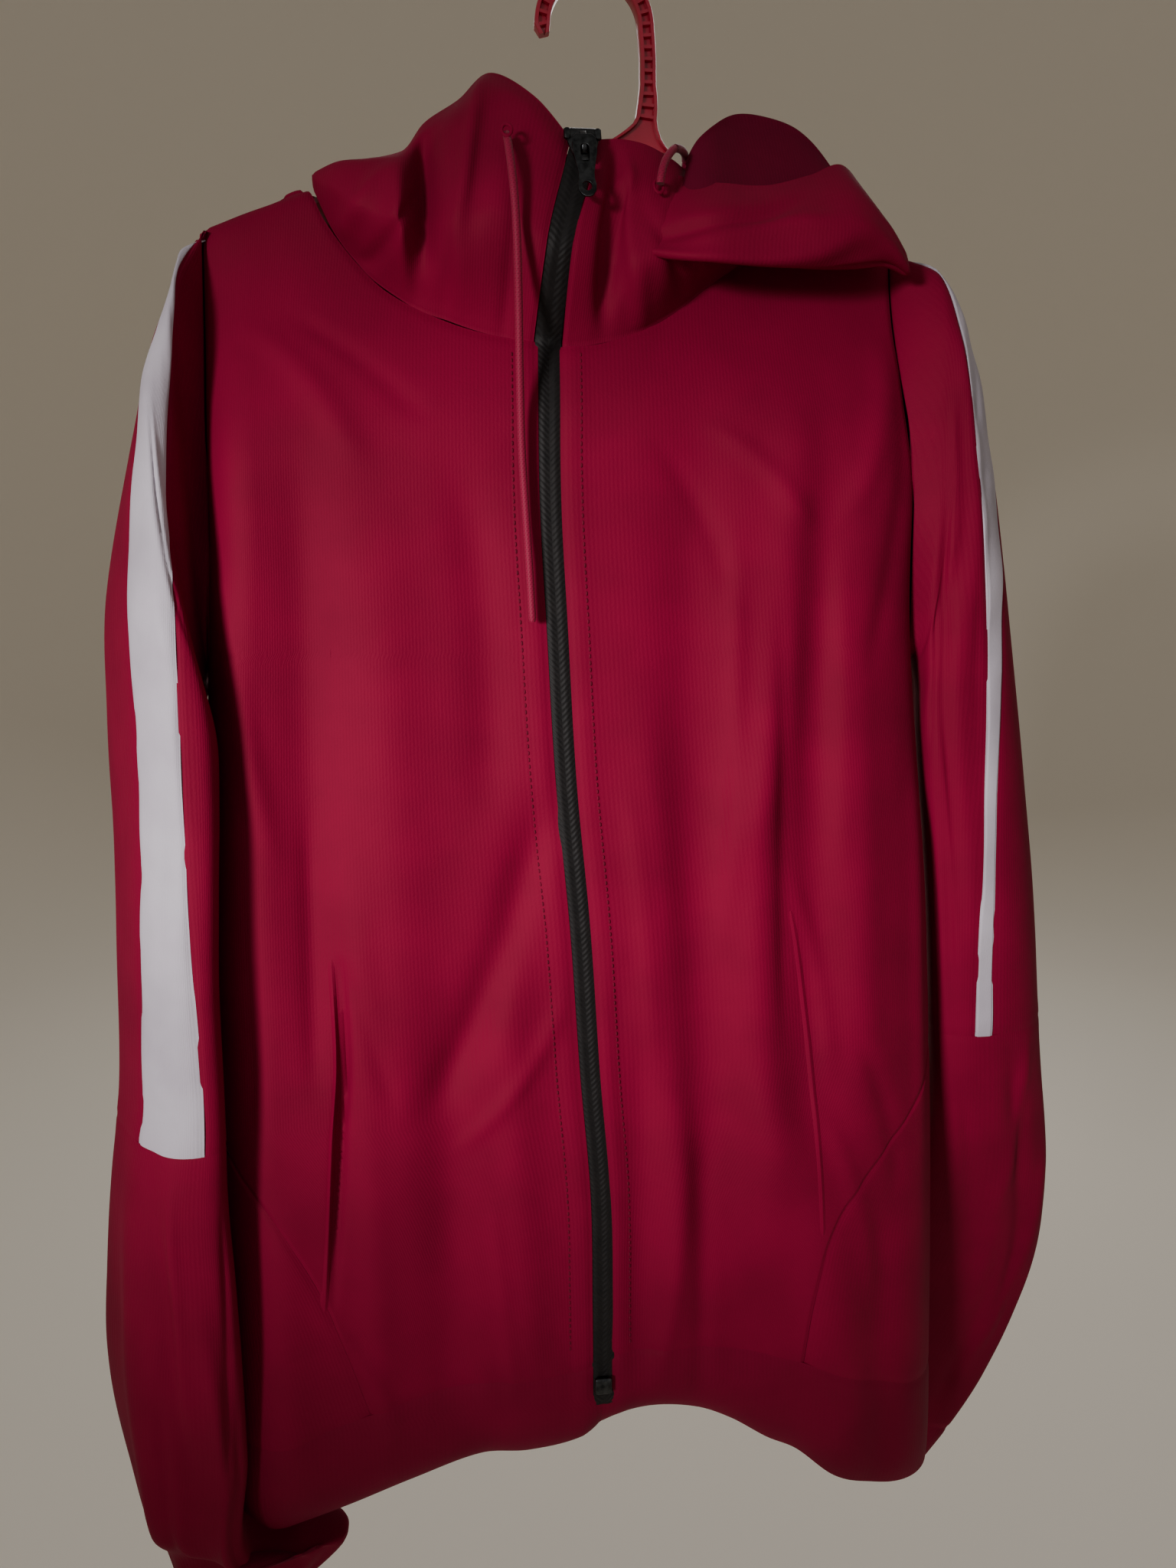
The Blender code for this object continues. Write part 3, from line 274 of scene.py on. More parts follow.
# Soft folds of the fronts and back: a ridge of `height` (a trough where negative) that runs
# from one point to another and fades out at both ends; `bow` bends it sideways at mid-length
FRONT_FOLDS = [
    # x0, down0, x1, down1, bow, width, height
    (98, 225, 76, 420, 6, 14, 5.0),
    (76, 400, 86, 640, -4, 15, 6.0),
    (90, 590, 122, 740, 6, 17, 4.5),
    (106, 250, 108, 560, 0, 15, -5.0),
    (44, 235, 50, 640, -6, 19, -5.0),
    (168, 250, 186, 700, 0, 9, 3.0),
    (20, 400, 32, 690, 2, 12, 3.5),
    (128, 330, 140, 560, 0, 12, 2.5),
    (-152, 250, -158, 520, 0, 14, -4.5),
    (-188, 200, -190, 460, 0, 14, 3.0),
    (-72, 260, -66, 400, 4, 12, -3.0),
    (-44, 430, -92, 560, 4, 11, -5.0),
    (-92, 540, -96, 740, 0, 15, -4.0),
    (-118, 300, -120, 640, 4, 20, 4.0),
    (-60, 500, -52, 730, 0, 12, 3.0),
    (-136, 480, -134, 740, 0, 10, 2.5),
    (12, 560, 10, 720, 0, 12, -4.0),
    (-180, 640, -186, 790, 0, 12, 3.0),
    (150, 660, 158, 820, 0, 14, -4.0),
]
BACK_FOLDS = [
    (-150, 300, -156, 700, 0, 18, -4.0),
    (-90, 200, -80, 640, 6, 22, 4.0),
    (-20, 330, -12, 760, -4, 20, -4.5),
    (60, 240, 52, 600, 0, 22, 4.0),
    (110, 340, 122, 780, 6, 18, -4.0),
    (0, 150, 4, 330, 0, 26, 3.0),
]


def ridge(run, aside, width, height, reach, fade):
    """One soft ridge: `run` is 0 to 1 along it, and `aside` is the distance from its line.

    It goes on by `reach` past both ends and fades out there over `fade`.
    """
    if not -reach < run < 1 + reach:
        return 0.0
    ends = smooth_step((run + reach) / fade) * smooth_step((1 + reach - run) / fade)
    return height * ends * math.exp(-((aside / width) ** 2))


def fold_offset(folds, x, down):
    """How far the cloth stands out at a point, summed over its folds."""
    total = 0.0
    for x0, down0, x1, down1, bow, width, height in folds:
        run = (down - down0) / (down1 - down0)
        middle = x0 + (x1 - x0) * run + bow * 4 * run * (1 - run)
        total += ridge(run, x - middle, width, height, 0.25, 0.4)
    return total


SIDES = {
    -1: ("right_x", ARMHOLE_RIGHT, SIDE_SEAM_RIGHT),
    1: ("left_x", ARMHOLE_LEFT, SIDE_SEAM_LEFT),
}


def from_side(x, down):
    """0 at the nearer side fold, rising to 1 where the cloth is flat again."""
    from_right = (x - BODY.at("right_x", down)) / BODY.at("right_round", down)
    from_left = (BODY.at("left_x", down) - x) / BODY.at("left_round", down)
    return round_over(min(from_right, from_left))


def wall_y(x, down, facing, column, folds):
    """The outer face of the fronts (facing -1) or the back (1), as a height over x and down."""
    flat = from_side(x, down)
    side = BODY.at("side_y", down)
    hanging = side + (BODY.at(column, down) - side) * flat
    hanging += facing * fold_offset(folds, x, down) * flat
    below = down - SHOULDER.at("down", x)
    top_round = round_over(below / SHOULDER_ROUND) * max(flat, SHOULDER_LEAST)
    on_hanger = facing * (SHOULDER_RIDGE + SHOULDER_DEPTH * top_round)
    share = smooth_step(below / CHEST_DROP)
    return on_hanger + (hanging - on_hanger) * share


def front_y(x, down):
    return wall_y(x, down, -1, "front_y", FRONT_FOLDS)


def back_y(x, down):
    return wall_y(x, down, 1, "back_y", BACK_FOLDS)


def body_edge(side, down, curved_seam=False):
    """The outer edge of the back or of a front: armhole, side fold, then the curved seam."""
    fold, armhole, seam = SIDES[side]
    nearer = max if side < 0 else min
    edge = BODY.at(fold, down) - side * HALF_GAP
    if down < ARMHOLE_FOOT:
        edge = nearer(edge, armhole.at("x", down))
    if curved_seam and down > seam.rows[0][0]:
        edge = nearer(edge, seam.at("x", down) - side * CURVED_GAP)
    return edge


def hem_seam(x):
    """The seam between the fronts and their hem band."""
    return HEM_FRONT.at("down", x) - HEM_FRONT.at("band", x)


def back_hem_seam(x):
    return HEM_BACK.at("down", x) - HEM_BACK.at("band", x)


def hem_tuck(x, down, share):
    """How far back the front hem band curls, at a share of its height."""
    return HEM_TUCK * max(share, 0.0) ** 4 * from_side(x, down)


def spread(t, edge_share=0.5):
    """Columns drawn closer together towards 0, where the cloth curves round the side."""
    return t * (1 - edge_share) + edge_share * t * t


def placket_edge(side, down):
    """Where a front ends beside the zip."""
    return BODY.at("zip_x", down) + side * (TAPE_WIDTH + HALF_GAP)


def hem_end(side, down):
    """Where a front's hem ends: beside the tape, and at the middle below the zip."""
    edge, middle = placket_edge(side, down), BODY.at("zip_x", down) + side * HALF_GAP
    return edge + (middle - edge) * smooth_step((down - ZIP_FOOT - 2) / 9)


# ---------------------------------------------------------------- small folds and rumples

# Short creases that only the cloth shows, beside the main folds: x0, down0, x1, down1, bow,
# width, height
FRONT_CREASES = [
    (-30, 520, -78, 590, 5, 6, 1.8),
    (-140, 500, -122, 566, 0, 5, -1.0),
    (-158, 430, -161, 545, 0, 5, -1.6),
    (-196, 300, -178, 420, 0, 6, 1.8),
    (-186, 420, -192, 560, 0, 6, -1.8),
    (-166, 180, -128, 236, 5, 9, 1.8),
    (-150, 170, -98, 214, 4, 8, -1.2),
    (150, 184, 126, 262, 4, 8, 2.0),
    (160, 214, 142, 330, 3, 7, -1.8),
    (60, 226, 98, 268, 5, 7, 1.8),
    (30, 238, 60, 300, 4, 6, -1.4),
    (64, 300, 60, 470, 2, 5, 1.6),
    (88, 330, 92, 520, 0, 5, -1.8),
    (120, 300, 122, 450, 0, 6, 1.4),
    (8, 420, 18, 560, 2, 5, 1.4),
    (0, 520, -2, 640, 0, 5, -1.2),
    (34, 600, 22, 738, 3, 6, 1.8),
    (48, 610, 44, 752, 0, 6, -1.8),
    (100, 470, 118, 560, 3, 5, 1.6),
    (118, 600, 146, 700, 5, 6, 1.6),
    (140, 560, 162, 640, 4, 6, -1.6),
    (172, 420, 180, 600, 0, 5, 1.8),
    (-160, 690, -130, 756, 5, 6, 1.4),
    (-70, 640, -62, 742, 0, 5, 1.3),
]
BACK_CREASES = [
    (-140, 240, -100, 330, 6, 9, 1.8),
    (-60, 200, -40, 420, 4, 8, -1.6),
    (30, 210, 20, 460, 4, 8, 1.8),
    (100, 230, 60, 340, 6, 9, -1.8),
    (-170, 420, -176, 640, 0, 8, 1.8),
    (-60, 520, -70, 740, 3, 8, 1.8),
    (40, 560, 48, 740, 0, 8, -1.6),
    (140, 480, 150, 740, 0, 8, 1.8),
]
RUMPLE_SIZE = 46.0  # of the broad unevenness of hanging cloth
RUMPLE_HEIGHT = 0.4
RUMPLE_STRETCH = 0.4  # it runs with the hang of the cloth
PUCKER_SIZE = 15.0  # along a stitched edge
PUCKER_REACH = 13.0
PUCKER_HEIGHT = 0.42
PLACKET = 11.5  # width of the turned strip stitched down beside the zip
PLACKET_STEP = 3.0  # over which it rises at each edge
PLACKET_RISE = 0.5
ZIP_CALM = 14.0  # beside the zip the cloth is held flat
POCKET_WIDTH = 5.0
GROOVE_ASIDE = 4.0  # from the pocket's edge to the dark slit beside it
GROOVE_WIDTH = 2.6
GROOVE_DEPTH = 4.5


def rumple(spot, size=RUMPLE_SIZE, height=RUMPLE_HEIGHT):
    """Broad and small unevenness at a point in metres, in millimetres."""
    hung = Vector((spot.x, spot.y, spot.z * RUMPLE_STRETCH))
    broad = noise.noise(hung / (size * MM))
    small = noise.noise(hung / (size * 0.36 * MM) + Vector((7.1, 3.3, 1.7)))
    return height * (broad + 0.3 * small)


def pucker(distance, along_edge):
    """The slight gathering of cloth beside a row of stitches."""
    if distance > PUCKER_REACH * 2.5:
        return 0.0
    wave = noise.noise(Vector((along_edge / PUCKER_SIZE, 0.5, 0.0)))
    return PUCKER_HEIGHT * 2 * wave * math.exp(-((distance / PUCKER_REACH) ** 2))


def pocket_groove(x, down):
    """The dark slit beside the right pocket's edge, where its mouth stands open."""
    top, foot = POCKET_RIGHT.rows[0][0], POCKET_RIGHT.rows[-1][0]
    run = (down - top) / (foot - top)
    if not 0 < run < 1:
        return 0.0
    aside = x - POCKET_RIGHT.at("x", down) - GROOVE_ASIDE
    return GROOVE_DEPTH * math.sin(math.pi * run) ** 0.6 * math.exp(-((aside / GROOVE_WIDTH) ** 2))


def front_relief(x, down):
    """What the fronts show beyond the source's form, outwards, in millimetres."""
    zip_gap = abs(x - BODY.at("zip_x", down)) - TAPE_WIDTH
    total = fold_offset(FRONT_CREASES, x, down)
    total += pucker(zip_gap, down)
    total += pucker(abs(down - hem_seam(x)), x + 400)
    total -= pocket_groove(x, down)
    strip = smooth_step(zip_gap / PLACKET_STEP) * smooth_step((PLACKET - zip_gap) / PLACKET_STEP)
    return (total * smooth_step(zip_gap / ZIP_CALM) + PLACKET_RISE * strip) * from_side(x, down)


def back_relief(x, down):
    """The same for the back."""
    total = fold_offset(BACK_CREASES, x, down) + pucker(abs(down - back_hem_seam(x)), x + 90)
    return total * from_side(x, down)


POCKET_RIGHT = Table("down x", [(488, -150), (545, -149.5), (587, -153.5), (640, -158), (682, -162)])
POCKET_LEFT = Table("down x", [(474, 95), (499, 100), (545, 106), (590, 110), (625, 112.5), (663, 114)])
# Each row is one ring of a sleeve: its outer and inner points in the front view, how far it
# reaches forward and back, and how much further out its back edge stands than its front
SLEEVE_COLUMNS = "ring out_x out_down in_x in_down front_y back_y lean"
SLEEVE_RIGHT = Table(SLEEVE_COLUMNS, [
    (0, -201, 123.5, -208, 340, -24, 14, 0),
    (1, -208, 138, -209, 343, -38, 16, 1),
    (2, -213, 158, -210, 346, -50, 18, 3),
    (3, -224, 187, -211, 350, -61, 19, 6),
    (4, -236.5, 234, -211.5, 360, -72, 18, 15),
    (5, -247.5, 300, -211, 380, -78, 12, 24),
    (6, -249.5, 360, -212, 410, -82, 3, 25),
    (7, -251.5, 420, -214, 450, -84, -3, 24),
    (8, -254.5, 480, -215, 497, -86, -10, 22),
    (9, -258, 556, -216, 559, -88, -16, 22),
    (10, -266.5, 613, -216.5, 609, -90, -20, 21),
    (11, -272, 664, -216, 660, -91, -23, 22),
    (12, -276.5, 710, -215, 710, -91, -26, 21),
    (13, -275.5, 755, -214, 765, -89, -28, 17),
    (14, -269, 800, -212, 836, -84, -30, 8),
    (14.5, -264, 834, -161, 845, -64, -22, 0),
    (15, -258, 867, -186, 875, -60, -20, 0),
    (16, -250, 896, -196, 902, -58, -18, 0),
])
SLEEVE_LEFT = Table(SLEEVE_COLUMNS, [
    (0, 157.5, 123.5, 174, 340, -36, 18, 0),
    (1, 180, 137, 176, 343, -42, 20, 1),
    (2, 193, 155, 178, 346, -44, 23, 3),
    (3, 204, 182, 179.5, 350, -45, 27, 6),
    (4, 219, 230, 182.5, 362, -45, 31, 10),
    (5, 233, 290, 185, 382, -44, 34, 14),
    (6, 245, 350, 189.2, 412, -42, 36, 16),
    (7, 257, 415, 194.7, 450, -39, 38, 16),
    (8, 268, 480, 200, 498, -37, 39, 16),
    (9, 277, 545, 204.5, 550, -32, 40, 15),
    (10, 286, 610, 208, 604, -25, 41, 13),
    (11, 296, 675, 209, 655, -12, 42, 10),
    (12, 299, 742, 199, 700, 1, 43, 6),
    (13, 287, 798, 176, 738, 8, 44, 2),
    (14, 268, 845, 150, 782, 11, 44, 0),
    (15, 246, 884, 132, 828, 11, 43, 0),
    (16, 225, 912, 120, 866, 11, 40, 0),
])
SLEEVE_SQUARE = 2.7  # 2 is an ellipse
STRIPE_LAST_RING = 9.35
SLEEVE_LAST_RING = 16.0
SLEEVE_FIRST_RING = 0.08

# Where the stripe lies round each sleeve, in degrees: 180 is the outer edge, 270 the front,
# 360 the inner edge, at a few rings
STRIPE_RIGHT = Table("ring start end", [
    (0, 158, 167), (1, 187, 217), (2, 198, 244), (3, 200, 266), (4, 198, 268), (5, 200, 261),
    (6, 203, 261), (7, 207, 264), (8, 205, 270), (9.6, 200, 275),
])
STRIPE_LEFT = Table("ring start end", [
    (0, 152, 162), (1, 168, 198), (2, 179, 236), (3, 186, 248), (4, 197, 250), (5, 217, 249),
    (6, 238, 255.5), (7, 255, 265), (8, 263.8, 270.8), (9.6, 269.2, 276.8),
])
SLEEVE_FOLDS_RIGHT = [
    # ring0, ring1, degrees0, degrees1, width in degrees, height
    (9.5, 15, 222, 286, 14, -4.0),
    (10, 16, 196, 238, 12, 3.0),
    (12, 16, 300, 330, 12, -3.0),
    (3, 9, 120, 130, 16, -3.0),
    (9, 15, 60, 100, 16, -3.0),
]
SLEEVE_FOLDS_LEFT = [
    (2, 9, 288, 296, 15, -5.0),
    (1, 5, 236, 262, 12, 4.0),
    (9.6, 13, 250, 222, 12, -4.0),
    (10, 15, 200, 208, 12, 3.0),
    (3, 10, 110, 120, 16, -3.0),
    (9, 14, 60, 80, 16, -3.0),
]


def sleeve_fold(folds, ring, degrees):
    """How far a sleeve stands out at a ring and a turn, summed over its folds."""
    total = 0.0
    for ring0, ring1, start, end, width, height in folds:
        run = (ring - ring0) / (ring1 - ring0)
        aside = degrees - (start + (end - start) * run)
        total += ridge(run, aside, width, height, 0.15, 0.35)
    return total


def sleeve_point(table, folds, armhole, ring, degrees):
    """A point of a sleeve, on its ring and at its angle. The first ring is the armhole."""
    turn = math.radians(degrees)
    in_out = rounded(math.cos(turn), SLEEVE_SQUARE)
    back_front = rounded(math.sin(turn), SLEEVE_SQUARE)
    column = lambda name: table.at(name, ring)
    out_x, in_x = column("out_x"), column("in_x")
    out_down, in_down = column("out_down"), column("in_down")
    middle_y = (column("front_y") + column("back_y")) / 2
    half_depth = (column("back_y") - column("front_y")) / 2
    x = (out_x + in_x) / 2 + (in_x - out_x) / 2 * in_out
    down = (out_down + in_down) / 2 + (in_down - out_down) / 2 * in_out
    outward = 1 if armhole is ARMHOLE_LEFT else -1
    bulge = sleeve_fold(folds, ring, degrees % 360)
    x += outward * column("lean") * back_front
    x -= outward * bulge * math.cos(turn)
    y = middle_y + (half_depth + bulge * abs(math.sin(turn))) * back_front
    if ring < 1:
        seam_down = min(max(down, ARMHOLE_TOP), ARMHOLE_FOOT + 2)
        seam_x = armhole.at("x", seam_down)
        front, back = front_y(seam_x, seam_down), back_y(seam_x, seam_down)
        turned = min(max(back_front * 4, -1.0), 1.0)
        seam_y = (front + back) / 2 + max((back - front) / 2, ARMHOLE_LEAST) * turned
        share = smooth_step(ring)
        seam_x += outward * ARMHOLE_GAP
        x = seam_x + (x - seam_x) * share
        y = seam_y + (y - seam_y) * share
    return place(x, down, y)


# ---------------------------------------------------------------- hood

# Sections of the hood from the right shoulder round to the zip. Each is read from the neck
# seam up: on the seam, at the fullest part, near the top and just over the top edge
HOOD_RIGHT = [
    [(-144, 104, -7), (-143.5, 101, -11), (-143, 98, -10), (-142, 97, -4)],
    [(-134, 125, -24), (-132, 110, -29), (-130, 97, -22), (-129, 93, -8)],
    [(-119, 145, -34), (-117, 122, -41), (-115, 99, -30), (-114, 91, -9)],
    [(-103, 158, -41), (-101, 130, -49), (-99, 99, -34), (-98, 86, -10)],
    [(-92, 164.5, -44), (-90, 130, -44), (-88, 92, -30), (-87, 73, -10)],
    [(-78, 170, -47), (-76, 130, -58), (-72, 84, -38), (-70, 62, -10)],
    [(-64, 175, -50), (-62, 128, -60), (-57, 76, -38), (-54, 50, -12)],
    [(-50, 178.5, -52), (-46, 130, -60), (-38, 84, -44), (-34, 68, -33)],
    [(-37.5, 181, -53), (-32, 140, -60), (-22, 104, -48), (-17.3, 88, -38)],
]
HOOD_LEFT = [
    [(-21.5, 183, -53), (-18, 142, -60), (-9, 108, -48), (-3.2, 88, -38)],
    [(-8, 181.5, -53), (-4, 142, -56), (4, 108, -47), (8, 87.5, -38)],
    [(8, 177.5, -52), (9, 145, -50), (16, 112, -46), (21, 89, -36)],
    [(24, 171, -50), (27, 143, -54), (32, 114, -44), (35, 93, -30)],
    [(40, 161, -46), (42, 140, -42), (45, 112, -32), (47, 96, -20)],
    [(56, 148.5, -40), (58, 130, -36), (61, 110, -25), (63, 97, -14)],
    [(84, 129.5, -24), (85, 120, -22), (86, 109, -16), (87, 98, -9)],
    [(112, 112.8, -9.5), (112, 110, -11), (112, 107, -9), (112, 104, -4)],
]
# The part of the hood that has flopped over the left shoulder. Each section runs from the
# free front edge down to the rolled fold, under it and up behind to the crown
HOOD_FLAP = [
    [(36, 101, -45), (26, 124, -60), (19, 141, -63), (24, 138, -60), (33, 120, -56), (41, 98, -43)],
    [(54, 107, -45), (45, 128, -66), (40, 147, -66), (42, 141, -57), (47, 112, -47), (50, 82, -28)],
    [(78, 108, -44), (74, 130, -66), (72, 149.5, -62), (73, 141, -48), (74, 108, -33), (70, 66, -12)],
    [(101, 102, -42), (99, 128, -66), (98, 150, -60), (98, 141, -44), (97, 104, -25), (94, 67, -10)],
    [(120, 95.5, -38), (121, 122, -62), (122, 147, -56), (122, 139, -39), (119, 104, -21), (111, 75, -9)],
    [(138, 112, -32), (139, 128, -54), (140, 145, -50), (140, 137, -35), (138, 111, -19), (130, 95, -8)],
    [(152, 130, -28), (153, 138, -44), (154, 147.5, -42), (153.5, 141, -30), (152, 126, -20),
     (148, 117, -10)],
]
# The centre piece, which falls behind the neck: over the top, down the back, round the fold
# and up to the back neck seam
HOOD_BACK = [
    [(-140, 100, -2.5), (-141, 112, 18), (-138, 165, 30), (-134, 196, 31), (-136, 165, 25),
     (-138, 112.5, 13.8)],
    [(-127, 92, -6), (-126, 108, 24), (-124, 190, 38), (-120, 232, 38), (-123, 190, 28), (-125, 115, 15.8)],
    [(-97, 85, -8), (-96, 103, 26), (-94, 215, 43), (-92, 268, 42), (-94, 215, 30), (-96, 119, 17.4)],
    [(-75, 66.4, -7.5), (-75, 92, 26), (-72, 226, 46), (-70, 284, 44), (-72, 226, 31), (-74, 122, 18)],
    [(-54, 52.4, -7.5), (-55, 84, 26), (-50, 232, 47), (-48, 294, 45), (-50, 232, 31), (-54, 124, 18.4)],
    [(-26, 74, -1), (-22, 97, 26), (-14, 235, 48), (-12, 300, 46), (-14, 235, 31), (-16, 126, 18.6)],
    [(8, 89, 12), (8, 101, 28), (10, 235, 48), (11, 300, 46), (10, 235, 31), (9, 126, 18.6)],
    [(34, 92, 13), (34, 104, 28), (36, 230, 47), (37, 292, 45), (36, 230, 31), (34, 125, 18.5)],
    [(66, 84, 2), (68, 100, 26), (72, 215, 43), (74, 270, 42), (72, 215, 30), (70, 122.5, 17.6)],
    [(100, 92, 0), (101, 108, 23), (101, 188, 37), (101, 230, 37), (101, 188, 27.5), (100, 119, 16)],
    [(117, 104, 1.6), (119, 114, 18), (119, 164, 30), (118, 192, 30), (118, 164, 24.5), (117, 114.5, 13.6)],
]
HOOD_FOOT = 0.35  # share of the height over which it settles onto the fronts' neck edge
HOOD_FOLDS = [
    # across and up, both as shares of the piece: start, end, width, depth
    ("hood_right", (0.52, 0.26), (0.50, 0.70), 0.05, -9.0),
    ("hood_right", (0.40, 0.15), (0.36, 0.65), 0.05, 4.0),
    ("hood_right", (0.70, 0.30), (0.78, 0.70), 0.06, -3.5),
    ("hood_left", (0.20, 0.20), (0.22, 0.62), 0.06, -6.0),
    ("hood_left", (0.34, 0.25), (0.36, 0.55), 0.06, 2.0),
]


def upright_folds(folds, name, across, share):
    """The folds that run up one hood piece, in millimetres."""
    total = 0.0
    for piece, start, end, width, depth in folds:
        if piece == name:
            run = (share - start[1]) / (end[1] - start[1])
            aside = across - (start[0] + (end[0] - start[0]) * run)
            total += ridge(run, aside, width, depth, 0.3, 0.5)
    return total


def hood_spot(name, sections, across, share):
    """Where a point of a hood piece lies: smooth along its sections and from one to the next."""
    x, down, y = along([along(section, share) for section in sections], across)
    if name in ("hood_right", "hood_left"):
        foot_x, foot_down, foot_y = along([section[0] for section in sections], across)
        settle = 1 - smooth_step(share / HOOD_FOOT)
        y += (front_y(foot_x, foot_down) - foot_y) * settle
        down -= SEAM_GAP * settle
    return x, down, y - upright_folds(HOOD_FOLDS, name, across, share)


def collar_edge(name, sections, across, down):
    """The x and y of a front edge of the collar at one drop."""
    points = [hood_spot(name, sections, across, k / 20) for k in range(21)]
    for low, high in zip(points, points[1:]):
        if high[1] <= down <= low[1]:
            share = (down - low[1]) / (high[1] - low[1])
            return low[0] + (high[0] - low[0]) * share, low[2] + (high[2] - low[2]) * share
    end = points[-1] if down < points[-1][1] else points[0]
    return end[0], end[2]


@functools.cache
def zip_face(down):
    """The zip's middle and outer face at one drop: with the collar above, the fronts below."""
    if down > ZIP_NECK:
        return BODY.at("zip_x", down), front_y(BODY.at("zip_x", down), down)
    right, y = collar_edge("hood_right", HOOD_RIGHT, 1.0, down)
    left, _ = collar_edge("hood_left", HOOD_LEFT, 0.0, down)
    return (right + left) / 2, y


PULL_LEAN = 0.42  # the collar leans forward on its way down, and the tab lies along it
SLIDER_DOWN = ZIP_TOP + 6
PIVOT_DOWN = ZIP_TOP + 3.5
# Down the tab from its pivot, and half its width there
PULL_OUTLINE = [
    (-1.6, 3.8), (0, 5.4), (3, 6.0), (8, 5.7), (13, 4.7), (18, 3.8), (21, 3.8), (24, 4.4),
    (27, 4.2), (29.3, 2.8), (30.2, 0.9),
]
PULL_EYE = (24.9, 2.3, 2.3, 2.0)  # its middle, half length, half width and squareness
PULL_WINDOW = (8.1, 4.5, 2.1, 4.0)


# ---------------------------------------------------------------- finishes

def linear(hex_colour):
    """A linear colour from sRGB hex."""
    values = [int(hex_colour[i : i + 2], 16) / 255 for i in (1, 3, 5)]
    return (*[v / 12.92 if v <= 0.04045 else ((v + 0.055) / 1.055) ** 2.4 for v in values], 1.0)


def add(tree, kind, settings=None, **links):
    """Adds a node: settings are its properties or sockets, links feed its sockets by name."""
    made = tree.nodes.new(kind)
    for key, value in (settings or {}).items():
        if hasattr(made, key):
            setattr(made, key, value)
        else:
            made.inputs[key].default_value = value
    for key, source in links.items():
        tree.links.new(source, made.inputs[key.replace("_", " ")])
    return made


def finish(name, settings):
    """A material with its main shader's own sockets set: it, its tree, its shader, and the
    coordinates on the flat cut and in the object."""
    made = bpy.data.materials.new(name)
    made.use_nodes = True
    tree = made.node_tree
    shader = tree.nodes["Principled BSDF"]
    for key, value in settings.items():
        shader.inputs[key].default_value = value
    spots = add(tree, "ShaderNodeTexCoord").outputs
    return made, tree, shader, spots["UV"], spots["Object"]


def wave_scale(pitch):
    """The Wave node's scale for stripes `pitch` millimetres apart on coordinates in metres."""
    return 2 * math.pi / (20 * pitch * MM)


def two_tones(tree, shader, dark, light, size, spot):
    """Colours the surface with a cloudy change of tone, `size` millimetres across."""
    cloud = add(tree, "ShaderNodeTexNoise", {"Scale": 1 / (size * MM), "Detail": 3.0}, Vector=spot)
    ramp = add(tree, "ShaderNodeValToRGB", {}, Fac=cloud.outputs["Fac"])
    for element, place_on, colour in zip(ramp.color_ramp.elements, (0.35, 0.65), (dark, light)):
        element.position = place_on
        element.color = linear(colour)
    tree.links.new(ramp.outputs["Color"], shader.inputs["Base Color"])


def raise_by(tree, shader, height, strength, distance=0.0003):
    """Bump from a height."""
    bump = add(tree, "ShaderNodeBump", {"Strength": strength, "Distance": distance}, Height=height)
    tree.links.new(bump.outputs["Normal"], shader.inputs["Normal"])


def bands(tree, spot, pitch, way, more=None):
    """Even stripes `pitch` millimetres apart."""
    settings = {"wave_type": "BANDS", "bands_direction": way, "Scale": wave_scale(pitch)}
    wave = add(tree, "ShaderNodeTexWave", {**settings, **(more or {})}, Vector=spot)
    return wave.outputs["Fac"]


def grain(tree, spot, scale):
    return add(tree, "ShaderNodeTexNoise", {"Scale": scale, "Detail": 2.0}, Vector=spot).outputs["Fac"]


def tricot(name, dark, light, sheen_tint, sheen=0.05, roughness=0.72, wale=1.7):
    """Warp-knit polyester tricot, lightly brushed: close upright wales and a soft bloom where
    the surface turns away. Real wales are 0.6 mm apart, too fine to show, so they're wider."""
    made, tree, shader, cut, solid = finish(name, {
        "Roughness": roughness, "Specular IOR Level": 0.08, "Sheen Weight": sheen,
        "Sheen Roughness": 0.42, "Sheen Tint": linear(sheen_tint),
    })
    two_tones(tree, shader, dark, light, 55, solid)
    wales = bands(tree, cut, wale, "X", {"Distortion": 0.8, "Detail": 1.0, "Detail Scale": 2.0})
    fuzz = grain(tree, solid, 1 / (1.3 * MM))
    relief = add(tree, "ShaderNodeMath", {"operation": "MULTIPLY_ADD"})
    relief.inputs[1].default_value = 0.45
    tree.links.new(wales, relief.inputs[0])
    tree.links.new(fuzz, relief.inputs[2])
    raise_by(tree, shader, relief.outputs["Value"], 0.35, 0.00035)
    return made


def zip_tape():
    """Woven polyester zip tape, dyed black: a fine twill that keeps a faint dull shine."""
    made, tree, shader, cut, _ = finish(
        "zip_tape", {"Roughness": 0.62, "Specular IOR Level": 0.22, "Sheen Weight": 0.05}
    )
    two_tones(tree, shader, "#090708", "#100d0e", 9, cut)
    raise_by(tree, shader, bands(tree, cut, 1.5, "DIAGONAL", {"Distortion": 0.3}), 0.5)
    return made


